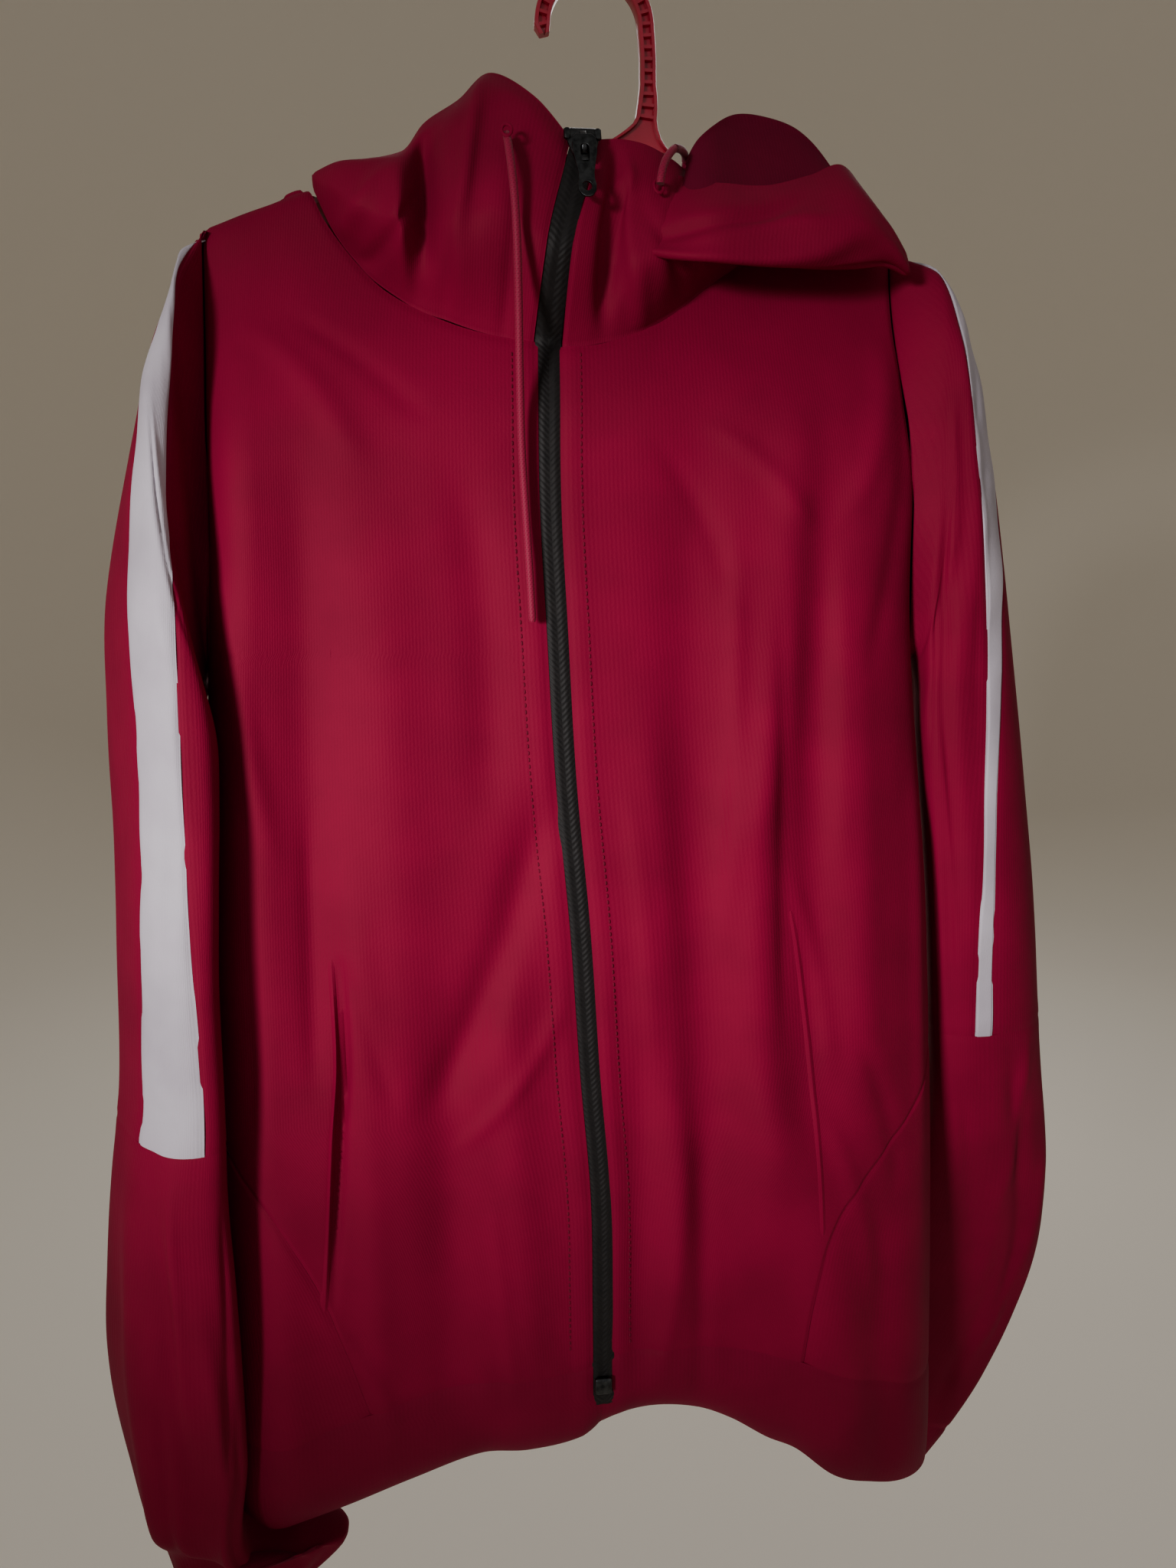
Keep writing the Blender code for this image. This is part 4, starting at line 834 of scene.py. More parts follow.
def braid(name, dark, light):
    """Round braided polyester cord: slanting strands that cross, with a dull silky shine."""
    made, tree, shader, cut, _ = finish(
        name,
        {"Roughness": 0.58, "Specular IOR Level": 0.2, "Sheen Weight": 0.12, "Sheen Roughness": 0.4},
    )
    crossed = add(tree, "ShaderNodeMath", {"operation": "MAXIMUM"})
    for socket, way in zip(crossed.inputs, ("DIAGONAL", "Y")):
        tree.links.new(bands(tree, cut, 1.0, way), socket)
    ramp = add(tree, "ShaderNodeValToRGB", {}, Fac=crossed.outputs["Value"])
    ramp.color_ramp.elements[0].color = linear(dark)
    ramp.color_ramp.elements[1].color = linear(light)
    tree.links.new(ramp.outputs["Color"], shader.inputs["Base Color"])
    raise_by(tree, shader, crossed.outputs["Value"], 0.35)
    return made


def thread(name, dark, light):
    """Spun polyester sewing thread: a twisted yarn, duller than the cloth under it."""
    made, tree, shader, _, solid = finish(name, {"Roughness": 0.75, "Specular IOR Level": 0.15})
    two_tones(tree, shader, dark, light, 4, solid)
    return made


def moulded_plastic():
    """Injection-moulded polypropylene: glossy, a little waxy, with faint flow marks."""
    made, tree, shader, _, solid = finish("polypropylene", {
        "Roughness": 0.34, "IOR": 1.49, "Subsurface Weight": 0.15,
        "Subsurface Radius": (0.006, 0.001, 0.001), "Subsurface Scale": 1.0,
    })
    two_tones(tree, shader, "#8e0f2a", "#a51536", 30, solid)
    raise_by(tree, shader, grain(tree, solid, 120.0), 0.12)
    return made


def gunmetal():
    """Die-cast zinc under a dark nickel plate: near black, with soft bright edges."""
    made, tree, shader, _, solid = finish("gunmetal", {"Metallic": 1.0, "Roughness": 0.38})
    two_tones(tree, shader, "#2b2c2e", "#47494b", 3, solid)
    wear = add(
        tree, "ShaderNodeMapRange", {"To Min": 0.3, "To Max": 0.5}, Value=grain(tree, solid, 1400.0)
    )
    tree.links.new(wear.outputs["Result"], shader.inputs["Roughness"])
    return made


CRIMSON = tricot("tricot_crimson", "#6e0428", "#77052c", "#a82c58")
# Inside faces: the back of the same cloth, coloured darker as painted shade for the shadow inside the
# garment and under the flap; its rougher, sheenier finish is the knit's own.
SHADED_INSIDE = tricot("tricot_crimson_inside_shaded", "#560422", "#5f0525", "#a02c54", sheen=0.1, roughness=0.75)
# The hem band and cuffs are the fronts' cloth, coloured a shade darker as painted shade for where the band
# rolls under and for the cuffs.
SHADED_BAND = tricot("tricot_crimson_double_shaded", "#680426", "#70052a", "#a82c58", wale=2.2)
WHITE = tricot("tricot_white", "#a8a1ad", "#bab4c0", "#ffffff", sheen=0.1)
TAPE = zip_tape()
CORD = braid("braid_crimson", "#6a0527", "#840d36")
RED_THREAD = thread("thread_crimson", "#53041e", "#660526")
METAL = gunmetal()
PLASTIC = moulded_plastic()


# ---------------------------------------------------------------- making pieces

def link(name, made, finishes, smooth=True):
    """Turns a mesh in the making into an object, with its faces turned outwards."""
    bmesh.ops.recalc_face_normals(made, faces=made.faces)
    mesh = bpy.data.meshes.new(name)
    made.to_mesh(mesh)
    made.free()
    if smooth:
        mesh.shade_smooth()
        mesh.set_sharp_from_angle(angle=math.radians(50))
    for each in finishes:
        mesh.materials.append(each)
    piece = bpy.data.objects.new(name, mesh)
    bpy.context.scene.collection.objects.link(piece)
    return piece


def seat(piece, slot, node=None, body=BODY_NAME):
    """Ties a piece to its body and hides the CAD node whose place it takes. The slot is not used."""
    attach(piece, body)
    if node:
        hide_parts(node)


def loft(made, rings, closed=False):
    """Faces from each ring of points to the next, with both ends shut unless it closes."""
    for a, b in zip(rings, rings[1:] + rings[:1] if closed else rings[1:]):
        for k in range(len(a)):
            n = (k + 1) % len(a)
            made.faces.new((a[k], a[n], b[n], b[k]))
    if not closed:
        made.faces.new(rings[0])
        made.faces.new(rings[-1])


def shares(count, edge):
    """Places from 0 to 1 that crowd together near both ends, where the edge turns in."""
    steps = [0.0, edge * 0.35, edge]
    middle = count - 2 * len(steps)
    inner = [edge + (1 - 2 * edge) * (k + 1) / (middle + 1) for k in range(middle)]
    return steps + inner + [1 - s for s in reversed(steps)]


EDGE_TURN = 2.0  # how far from its edge a piece starts to turn in to the seam
EDGE_SINK = 0.6
EDGE_REACH = 0.7  # how far a sewn edge runs on, under its neighbour's
OPEN_FADE = 6.0  # over which relief dies away towards an edge that isn't sewn


def edge_sink(distance):
    """How far a sewn edge is drawn in, at a distance from it."""
    return -EDGE_SINK * math.exp(-((distance / EDGE_TURN) ** 2))


def face_leans(spots, outside, closed):
    """The outward direction at each point of a grid, read from its neighbours."""
    last_row, last = len(spots) - 1, len(spots[0]) - 1
    leans = []
    for i, line in enumerate(spots):
        above, below = spots[max(i - 1, 0)], spots[min(i + 1, last_row)]
        lean_line = []
        for j in range(last + 1):
            if closed:
                side = line[(j + 1) % (last + 1)] - line[j - 1]
            else:
                side = line[min(j + 1, last)] - line[max(j - 1, 0)]
            lean_line.append(side.cross(below[j] - above[j]).normalized() * outside)
        leans.append(lean_line)
    return leans


def reach_on(spots, open_edges, closed):
    """Moves the last points of each sewn edge on by EDGE_REACH, so no gap shows at a seam."""
    def moved(spot, neighbour):
        return spot + (spot - neighbour).normalized() * EDGE_REACH * MM

    if not closed:
        for line in spots:
            if "left" not in open_edges:
                line[0] = moved(line[0], line[1])
            if "right" not in open_edges:
                line[-1] = moved(line[-1], line[-2])
    if "top" not in open_edges:
        spots[0] = [moved(a, b) for a, b in zip(spots[0], spots[1])]
    if "foot" not in open_edges:
        spots[-1] = [moved(a, b) for a, b in zip(spots[-1], spots[-2])]


def shell(name, point, size, columns, rows, finish, outside, thick=1.2, relief=None,
          closed=False, open_edges=(), inside=None):
    """A thin closed wall on a form. `size` is its width and length in millimetres.

    The outer face takes its relief and turns in at sewn edges; the texture coordinates are in
    metres on the flat cut. `open_edges` names edges that aren't sewn: left, right, top, foot.
    """
    width, length = size
    across_steps = [k / columns for k in range(columns)] if closed else shares(columns, 2 / width)
    down_steps = shares(rows, 2 / length)
    spots = [[point(across, share) for across in across_steps] for share in down_steps]
    leans = face_leans(spots, outside, closed)
    reach_on(spots, open_edges, closed)
    grid = []
    for row, share in enumerate(down_steps):
        line = []
        for column, across in enumerate(across_steps):
            spot = spots[row][column]
            height = rumple(spot)
            if relief:
                height += relief(across, share, spot)
            edges = {"top": length * share, "foot": length * (1 - share)}
            if not closed:
                edges.update(left=width * across, right=width * (1 - across))
            for edge, distance in edges.items():
                if edge in open_edges:
                    height *= smooth_step(distance / OPEN_FADE)
                else:
                    height += edge_sink(distance)
            line.append(spot + leans[row][column] * height * MM)
        grid.append(line)
    made = bmesh.new()
    uv_layer = made.loops.layers.uv.new("cut")
    row_count, column_count = len(grid), len(grid[0])
    outer = [[made.verts.new(p) for p in line] for line in grid]
    inner = [
        [made.verts.new(grid[i][j] - leans[i][j] * thick * MM) for j in range(column_count)]
        for i in range(row_count)
    ]
    spans = column_count if closed else column_count - 1
    places = [[(a * width * MM, s * length * MM) for a in across_steps + [1.0]] for s in down_steps]

    def face(corners, spots, slot):
        try:
            new = made.faces.new(corners)
        except ValueError:
            return
        new.material_index = slot
        for loop, spot in zip(new.loops, spots):
            loop[uv_layer].uv = spot

    for i in range(row_count - 1):
        for j in range(spans):
            k = (j + 1) % column_count
            spots = (places[i][j], places[i][j + 1], places[i + 1][j + 1], places[i + 1][j])
            for slot, wall in enumerate((outer, inner)):
                corners = (wall[i][j], wall[i][k], wall[i + 1][k], wall[i + 1][j])
                way = 1 if (outside > 0) == (slot == 0) else -1
                face(corners[::way], spots[::way], slot)
    for i in (0, row_count - 1):
        for j in range(spans):
            k = (j + 1) % column_count
            spots = (places[i][j], places[i][j + 1], places[i][j + 1], places[i][j])
            face((outer[i][j], outer[i][k], inner[i][k], inner[i][j]), spots, 0)
    if not closed:
        for j in (0, column_count - 1):
            for i in range(row_count - 1):
                spots = (places[i][j], places[i + 1][j], places[i + 1][j], places[i][j])
                face((outer[i][j], outer[i + 1][j], inner[i + 1][j], inner[i][j]), spots, 0)
    # Inner faces default to the inside finish, whose darker colour is painted shade.
    return link(name, made, [finish, inside or SHADED_INSIDE])


def dress(piece, node, slot, flat, area):
    """Puts a cloth piece in place of its CAD node. Its slot, flat cut and area are not used."""
    seat(piece, slot, node)


# ---------------------------------------------------------------- body panels

FRONT_SIZE = (205.0, 640.0)
BACK_SIZE = (400.0, 640.0)
BODY_GUESS = (150.0, 600.0)  # of the drop, at the top and over the height
HEM_GUESS = (800.0, 0.0)


def panel(outer, inner, top, foot, face, guess, ease=lambda across: across):
    """A panel between two upright edges and two cross lines, on a face of the body.

    The edges depend on the drop and the lines on x, so a few turns settle both, from a
    guess of the drop: its value at the top and its change over the height.
    """

    def point(across, share):
        down = guess[0] + guess[1] * share
        for _ in range(5):
            start, end = outer(down), inner(down)
            x = start + (end - start) * ease(across)
            low, high = top(x), foot(x)
            down = low + (high - low) * share
        return place(x, down, face(x, down, share))

    return point


def on_front(x, down, share):
    return front_y(x, down)


def on_back(x, down, share):
    return back_y(x, down) + SEAM_GAP


def on_front_hem(x, down, share):
    return front_y(x, down) + hem_tuck(x, down, share)


def on_body(function):
    """Relief of a body panel, read at the point's own x and drop."""
    return lambda across, share, spot: function(spot.x / MM, -spot.z / MM)


def make_fronts():
    for side, name, neck, columns, width, area in (
        (-1, "front_right", NECK_RIGHT, 108, 0.24, 0.115),
        (1, "front_left", NECK_LEFT, 84, 0.25, 0.1175),
    ):
        point = panel(
            lambda down: body_edge(side, down, curved_seam=True), lambda down: placket_edge(side, down),
            lambda x: neck.at("down", x) + HALF_GAP, lambda x: hem_seam(x) - HALF_GAP,
            on_front, BODY_GUESS, spread,
        )
        piece = shell(f"{name}_cloth", point, FRONT_SIZE, columns, 190, CRIMSON, side,
                      relief=on_body(front_relief))
        dress(piece, name, "tricot_crimson", (width, 0.68), area)


def make_side_panels():
    for side, name, start, area in ((-1, "side_right", 600, 0.0152), (1, "side_left", 571, 0.019)):
        fold, _, seam = SIDES[side]
        point = panel(
            lambda down: BODY.at(fold, down) - side * HALF_GAP,
            lambda down: seam.at("x", down) + side * CURVED_GAP,
            lambda x: start, lambda x: hem_seam(x) - HALF_GAP, on_front, (start + 100, 0),
        )
        piece = shell(f"{name}_cloth", point, (70, 190), 30, 50, CRIMSON, side,
                      relief=on_body(front_relief))
        dress(piece, name, "tricot_crimson", (0.13, 0.26), area)


def crowd_sides(across):
    """Columns drawn closer together towards both sides."""
    return across + (0.5 - 0.5 * math.cos(math.pi * across) - across) * 0.55


def make_back():
    point = panel(
        lambda down: body_edge(-1, down), lambda down: body_edge(1, down),
        lambda x: NECK_BACK.at("down", x) + HALF_GAP, lambda x: back_hem_seam(x) - HALF_GAP,
        on_back, BODY_GUESS, crowd_sides,
    )
    piece = shell("back_cloth", point, BACK_SIZE, 110, 150, CRIMSON, 1, relief=on_body(back_relief))
    dress(piece, "back", "tricot_crimson", (0.44, 0.70), 0.27)


def make_hem():
    """The band along the lower edge, folded double: its foot is a fold, not a cut."""
    right = lambda down: BODY.at("right_x", down) + HALF_GAP
    left = lambda down: BODY.at("left_x", down) - HALF_GAP
    for side, name, edge in ((-1, "hem_right", right), (1, "hem_left", left)):
        point = panel(
            edge, lambda down: hem_end(side, down), lambda x: hem_seam(x) + CURVED_GAP,
            lambda x: HEM_FRONT.at("down", x), on_front_hem, HEM_GUESS,
        )
        piece = shell(f"{name}_band", point, (200, 60), 84, 34, SHADED_BAND, side, thick=RIB,
                      relief=on_body(front_relief), open_edges=("foot",))
        dress(piece, name, "rib_crimson", (0.26, 0.10), 0.016)
    point = panel(
        right, left, lambda x: back_hem_seam(x) + HALF_GAP, lambda x: HEM_BACK.at("down", x),
        on_back, HEM_GUESS,
    )
    piece = shell("hem_back_band", point, (400, 55), 110, 20, SHADED_BAND, 1, thick=RIB,
                  relief=on_body(back_relief), open_edges=("foot",))
    dress(piece, "hem_back", "rib_crimson", (0.45, 0.10), 0.0268)


# ---------------------------------------------------------------- stitches

STITCH = 2.6
STITCH_GAP = 0.9
STITCH_WIDTH = 0.42
STITCH_SECTIONS = ((0.0, -0.25, 0.4), (0.22, 0.22, 1.0), (0.78, 0.22, 1.0), (1.0, -0.25, 0.4))
PLACKET_ROWS = ((-1, 12.4), (1, 9.8))  # side of the zip, distance from its tape
PLACKET_TOP = 186
PLACKET_RUN = 536


def stitches(name, path, lean):
    """One row of lockstitch along a path, each stitch a low rounded bar sunk at both ends."""
    made = bmesh.new()
    lengths = [0.0]
    for a, b in zip(path, path[1:]):
        lengths.append(lengths[-1] + (b - a).length / MM)

    def at(distance):
        index = 0
        while index < len(path) - 2 and lengths[index + 1] < distance:
            index += 1
        share = (distance - lengths[index]) / max(lengths[index + 1] - lengths[index], 1e-6)
        return path[index].lerp(path[index + 1], share)

    distance = 0.0
    while distance + STITCH < lengths[-1]:
        start, end = at(distance), at(distance + STITCH)
        side = (end - start).normalized().cross(lean).normalized() * STITCH_WIDTH * MM
        rings = []
        for share, rise, wide in STITCH_SECTIONS:
            middle = start.lerp(end, share) + lean * rise * MM
            up = lean * 0.3 * wide * MM
            corners = (middle + side * wide, middle + up, middle - side * wide, middle - up)
            rings.append([made.verts.new(p) for p in corners])
        loft(made, rings)
        distance += STITCH + STITCH_GAP
    seat(link(name, made, [RED_THREAD]), "tricot_crimson")


def front_spot(x, down):
    """A point on the finished face of a front."""
    y = front_y(x, down)
    lift = rumple(place(x, down, y)) + 0.1
    return place(x, down, y - front_relief(x, down) - lift)


def make_front_stitches():
    """The two rows that hold the turned strips beside the zip."""
    for index, (side, offset) in enumerate(PLACKET_ROWS):
        spots = []
        for step in range(190):
            down = PLACKET_TOP + PLACKET_RUN * step / 189
            spots.append(front_spot(BODY.at("zip_x", down) + side * (TAPE_WIDTH + offset), down))
        stitches(f"placket_stitches_{index}", spots, -BACK)


# ---------------------------------------------------------------- pocket mouths

def make_pockets():
    """Each mouth is a long narrow slit: its front edge is folded and stands a little open."""
    for name, mouth, open_by in (("right", POCKET_RIGHT, 2.2), ("left", POCKET_LEFT, 0.6)):
        top, foot = mouth.rows[0][0], mouth.rows[-1][0]

        def point(across, share):
            down = top + (foot - top) * share
            x = mouth.at("x", down) + (across - 0.5) * POCKET_WIDTH
            stand = (math.sin(math.pi * share) * open_by + 0.4) * (1.0 - (2 * across - 1) ** 2)
            return place(x, down, front_y(x, down) - front_relief(x, down) - 0.3 - stand)

        size = (POCKET_WIDTH, foot - top)
        piece = shell(f"pocket_{name}_edge", point, size, 14, 70, CRIMSON, -1, thick=0.9)
        dress(piece, f"pocket_{name}", "tricot_crimson", (0.012, (foot - top) * MM), 0.0014)


# ---------------------------------------------------------------- sleeves

SLEEVE_CREASES_RIGHT = [
    (3.2, 4.4, 236, 268, 7, -1.6),
    (4.6, 6.6, 244, 262, 9, 0.9),
    (6.6, 8.8, 250, 236, 10, -1.0),
    (2.8, 5.2, 14, 14, 26, 3.6),
    (2.8, 5.2, 374, 374, 26, 3.6),
    (9.8, 12.6, 250, 262, 6, 1.8),
    (10.2, 13.6, 300, 286, 7, -2.0),
    (11.0, 14.6, 270, 300, 6, 1.8),
    (12.0, 14.8, 236, 250, 7, -1.8),
    (4, 8, 70, 84, 9, 1.8),
    (7, 12, 150, 130, 9, -1.8),
]
SLEEVE_CREASES_LEFT = [
    (1.4, 3.6, 262, 276, 7, 1.8),
    (2.6, 5.6, 304, 312, 8, -1.8),
    (4.0, 7.0, 258, 268, 7, -1.6),
    (5.6, 8.8, 300, 290, 8, 1.8),
    (6.6, 9.4, 330, 322, 8, -1.8),
    (9.6, 11.6, 232, 262, 7, 1.8),
    (10.2, 12.8, 286, 260, 7, -1.8),
    (11.0, 13.6, 208, 232, 7, 1.8),
    (12.0, 14.6, 250, 240, 7, -1.6),
    (4, 8, 70, 84, 9, 1.8),
    (7, 12, 150, 130, 9, -1.8),
]


SLEEVE_CUTS = {
    # flat width and length in metres, then the cut's area in square metres
    "stripe_right": ((0.06, 0.50), 0.0146),
    "sleeve_front_right": ((0.08, 0.50), 0.0210),
    "sleeve_back_right": ((0.17, 0.50), 0.0532),
    "forearm_right": ((0.32, 0.34), 0.0654),
    "cuff_right": ((0.19, 0.045), 0.0050),
    "stripe_left": ((0.05, 0.50), 0.0087),
    "sleeve_front_left": ((0.09, 0.50), 0.0216),
    "sleeve_back_left": ((0.18, 0.50), 0.0640),
    "forearm_left": ((0.34, 0.34), 0.0790),
    "cuff_left": ((0.24, 0.06), 0.0101),
}
STRIPE_LIFT = 0.35  # its turned edges lie on the crimson
STRIPE_PUCKER = 1.5
SLEEVE_GAP = 0.28  # degrees of turn, each side of a seam


def stripe_pucker(ring, degrees):
    """The stripe is sewn a little tight, so the white swells unevenly between its seams."""
    return STRIPE_PUCKER * noise.noise(Vector((ring * 1.7, degrees / 55, 3.1)))


def make_sleeve(side, table, folds, creases, armhole, stripe):
    outside = -1 if side == "right" else 1

    def strip(name, start, end, rings, size, columns, rows, finish, slot, **more):
        def place_on(across, share):
            ring = rings[0] + (rings[1] - rings[0]) * share
            return ring, start(ring) + (end(ring) - start(ring)) * across

        def point(across, share):
            return sleeve_point(table, folds, armhole, *place_on(across, share))

        def relief(across, share, spot):
            """Creases, and the forearm's seam, which stands up where two cloths are turned in."""
            ring, degrees = place_on(across, share)
            lift = STRIPE_LIFT + stripe_pucker(ring, degrees) if name == "stripe" else 0.0
            seam = 0.5 * math.exp(-(((ring - STRIPE_LAST_RING) / 0.09) ** 2))
            return sleeve_fold(creases, ring, degrees % 360) + seam + lift

        piece = shell(f"{name}_{side}_cloth", point, size, columns, rows, finish, outside,
                      relief=relief, **more)
        dress(piece, f"{name}_{side}", slot, *SLEEVE_CUTS[f"{name}_{side}"])

    front_seam = lambda ring: stripe.at("end", ring)
    back_seam = lambda ring: stripe.at("start", ring)
    upper = (SLEEVE_FIRST_RING, STRIPE_LAST_RING)
    strip("stripe", lambda r: back_seam(r) + SLEEVE_GAP, lambda r: front_seam(r) - SLEEVE_GAP,
          upper, (60, 470), 26, 150, WHITE, "tricot_white")
    strip("sleeve_front", lambda r: front_seam(r) + SLEEVE_GAP, lambda r: 360 - SLEEVE_GAP,
          upper, (60, 470), 44, 150, CRIMSON, "tricot_crimson")
    strip("sleeve_back", lambda r: SLEEVE_GAP, lambda r: back_seam(r) - SLEEVE_GAP,
          upper, (150, 470), 64, 150, CRIMSON, "tricot_crimson")
    strip("forearm", lambda r: 0.0, lambda r: 360.0, (STRIPE_LAST_RING + 0.02, 15.0), (260, 290),
          120, 100, CRIMSON, "tricot_crimson", closed=True)
    strip("cuff", lambda r: 0.0, lambda r: 360.0, (15.03, SLEEVE_LAST_RING), (200, 40), 110, 18,
          SHADED_BAND, "rib_crimson", thick=RIB, closed=True, open_edges=("foot",))


# ---------------------------------------------------------------- hood

HOOD_CREASES = [
    # across and up, both as shares of the piece: start, end, width, depth in millimetres
    ("hood_right", (0.16, 0.10), (0.30, 0.55), 0.035, 2.4),
    ("hood_right", (0.24, 0.05), (0.44, 0.42), 0.030, -2.0),
    ("hood_right", (0.60, 0.05), (0.62, 0.60), 0.040, -1.8),
    ("hood_right", (0.68, 0.40), (0.72, 0.90), 0.030, 1.4),
    ("hood_right", (0.86, 0.05), (0.90, 0.60), 0.030, -1.4),
    ("hood_left", (0.12, 0.82), (0.19, 0.16), 0.045, -5.0),
    ("hood_left", (0.22, 0.70), (0.36, 0.12), 0.040, 3.0),
    ("hood_left", (0.56, 0.15), (0.36, 0.50), 0.035, -2.0),
    ("hood_left", (0.70, 0.15), (0.50, 0.50), 0.035, 1.6),
]
FLAP_CREASES = [
    # the same, but these run across the piece: start, end, width as a share of its height, depth
    ((0.02, 0.42), (0.62, 0.30), 0.045, 4.0),
    ((0.04, 0.30), (0.40, 0.14), 0.040, -3.2),
    ((0.10, 0.52), (0.90, 0.40), 0.038, -3.4),
    ((0.45, 0.22), (0.98, 0.34), 0.045, 3.0),
    ((0.20, 0.62), (0.85, 0.56), 0.040, 2.4),
]
BACK_HOOD_CREASES = [
    ((0.22, 0.06), (0.44, 0.13), 0.018, -2.6),
    ((0.40, 0.10), (0.78, 0.04), 0.020, 2.4),
    ((0.50, 0.14), (0.86, 0.10), 0.022, -2.4),
    ((0.10, 0.30), (0.80, 0.36), 0.050, 3.0),
    ((0.30, 0.50), (0.90, 0.44), 0.040, -2.6),
]


FLAP_TUCK = 11.0  # how far the flap's near end sinks behind the collar
FLAP_TUCK_REACH = 0.24  # share of its width


def hood_relief(name):
    """The small folds of one hood piece: upright on the collar, slanting on the others."""
    slanting = {"hood_flap": FLAP_CREASES, "hood_back": BACK_HOOD_CREASES}.get(name, [])

    def relief(across, share, spot):
        total = upright_folds(HOOD_CREASES, name, across, share)
        for start, end, width, depth in slanting:
            run = (across - start[0]) / (end[0] - start[0])
            aside = share - (start[1] + (end[1] - start[1]) * run)
            total += ridge(run, aside, width, depth, 0.3, 0.5)
        return total

    return relief


def make_hood():
    for name, sections, size, columns, rows, outside, open_edges, cut, area in (
        ("hood_right", HOOD_RIGHT, (150, 110), 110, 70, 1, ("foot",), (0.20, 0.15), 0.0149),
        ("hood_left", HOOD_LEFT, (160, 70), 100, 54, 1, ("foot",), (0.20, 0.11), 0.0100),
        ("hood_flap", HOOD_FLAP, (140, 150), 84, 90, -1, ("top",), (0.16, 0.20), 0.0182),
        ("hood_back", HOOD_BACK, (270, 420), 110, 120, 1, (), (0.30, 0.48), 0.0943),
    ):
        flopped = name == "hood_flap"

        def point(across, share):
            spot = place(*hood_spot(name, sections, across, share))
            if flopped:
                spot.y += FLAP_TUCK * MM * (1 - smooth_step(across / FLAP_TUCK_REACH))
            return spot

        # The flap's inner face takes the inside finish, whose darker colour is painted shade where it turns
        # under; the other hood pieces keep the crimson on both faces.
        piece = shell(f"{name}_cloth", point, size, columns, rows, CRIMSON, outside,
                      relief=hood_relief(name), open_edges=open_edges,
                      inside=SHADED_INSIDE if flopped else CRIMSON)
        dress(piece, name, "tricot_crimson", cut, area)


# ---------------------------------------------------------------- zip

def make_zip():
    """Two woven tapes turned face out, so that only a fine groove shows between them."""
    for side, name in ((-1, "zip_right"), (1, "zip_left")):
        def point(across, share):
            down = ZIP_TOP + 1 + (ZIP_FOOT + 7 - ZIP_TOP) * share
            middle, y = zip_face(down)
            x = middle + side * (0.06 + (TAPE_WIDTH - 0.1) * across)
            return place(x, down, y + 0.5 * across**2)

        piece = shell(f"{name}_tape", point, (6, 660), 12, 220, TAPE, -side, thick=0.9, inside=TAPE)
        dress(piece, name, "zip_tape_black", (0.016, 0.67), 0.0055)


def solid_bar(name, sections, sides, power, node=None, along_a=RIGHT, along_b=BACK):
    """A rounded metal piece through sections: (centre, half_a, half_b)."""
    made = bmesh.new()
    rings = []
    for centre, half_a, half_b in sections:
        ring = []
        for k in range(sides):
            turn = 2 * math.pi * k / sides
            a = along_a * half_a * MM * rounded(math.cos(turn), power)
            b = along_b * half_b * MM * rounded(math.sin(turn), power)
            ring.append(made.verts.new(centre + a + b))
        rings.append(ring)
    loft(made, rings)
    seat(link(name, made, [METAL]), "zip_steel", node)


def make_slider():
    """The slider's body and bridge, and the two top stops. Returns the x of its middle."""
    middle, face_y = zip_face(SLIDER_DOWN)

    def at(down, out):
        return place(middle, SLIDER_DOWN + down, face_y - 3.0 - down * PULL_LEAN - out)

    solid_bar("slider_body", [
        (at(down, 0.0), half, deep) for down, half, deep in (
            (-9, 6.6, 0.8), (-8.4, 7.6, 1.5), (-5, 8.1, 1.9), (-1, 7.3, 1.8), (3, 5.9, 1.7),
            (6.6, 4.5, 1.4), (7.6, 3.9, 0.8),
        )
    ], 28, 3.4, "zip_slider")
    solid_bar("slider_bridge", [
        (at(down, rise + 0.4), 1.5, 0.9) for down, rise in (
            (-7.2, 0.6), (-6.4, 2.4), (-3.5, 4.1), (0, 4.3), (3.0, 3.2), (4.6, 1.2),
        )
    ], 14, 2.4)
    for side, name in ((-1, "top_stop_right"), (1, "top_stop_left")):
        solid_bar(name, [
            (place(middle + side * 7.4, ZIP_TOP + down, face_y - 1.2 - down * PULL_LEAN), half, 1.5)
            for down, half in ((-2.5, 1.0), (-2, 1.7), (2.4, 1.7), (2.9, 1.0))
        ], 12, 3.0)
    return middle


def make_pull(middle):
    """A flat cast tab with a window at its top and an eye near its end."""
    _, slider_y = zip_face(SLIDER_DOWN)
    around = [(half, run) for run, half in PULL_OUTLINE]
    around += [(-half, run) for run, half in reversed(PULL_OUTLINE)]

    def hole(centre, half_run, half_width, power):
        turns = [math.radians(a) for a in range(0, 360, 24)]
        return [(half_width * rounded(math.cos(t), power),
                 centre + half_run * rounded(math.sin(t), power)) for t in turns]

    loops = (around, hole(*PULL_EYE), hole(*PULL_WINDOW))
    made = bmesh.new()
    faces = []
    for off in (-1.0, 0.7):
        corners = [
            [made.verts.new(place(middle + x, PIVOT_DOWN + run, slider_y - 6.6 - run * PULL_LEAN + off))
             for x, run in loop]
            for loop in loops
        ]
        edges = [made.edges.new((a, b)) for line in corners for a, b in zip(line, line[1:] + line[:1])]
        bmesh.ops.triangle_fill(made, edges=edges, use_beauty=True)
        faces.append(corners)
    for front, back in zip(*faces):
        for k in range(len(front)):
            n = (k + 1) % len(front)
            made.faces.new((front[k], front[n], back[n], back[k]))
    piece = link("pull_tab", made, [METAL])
    bevel = piece.modifiers.new("soft_edges", "BEVEL")
    bevel.width = 0.3 * MM
    bevel.segments = 2
    bevel.limit_method = "ANGLE"
    seat(piece, "zip_steel", "zip_pull", PULL_BODY)


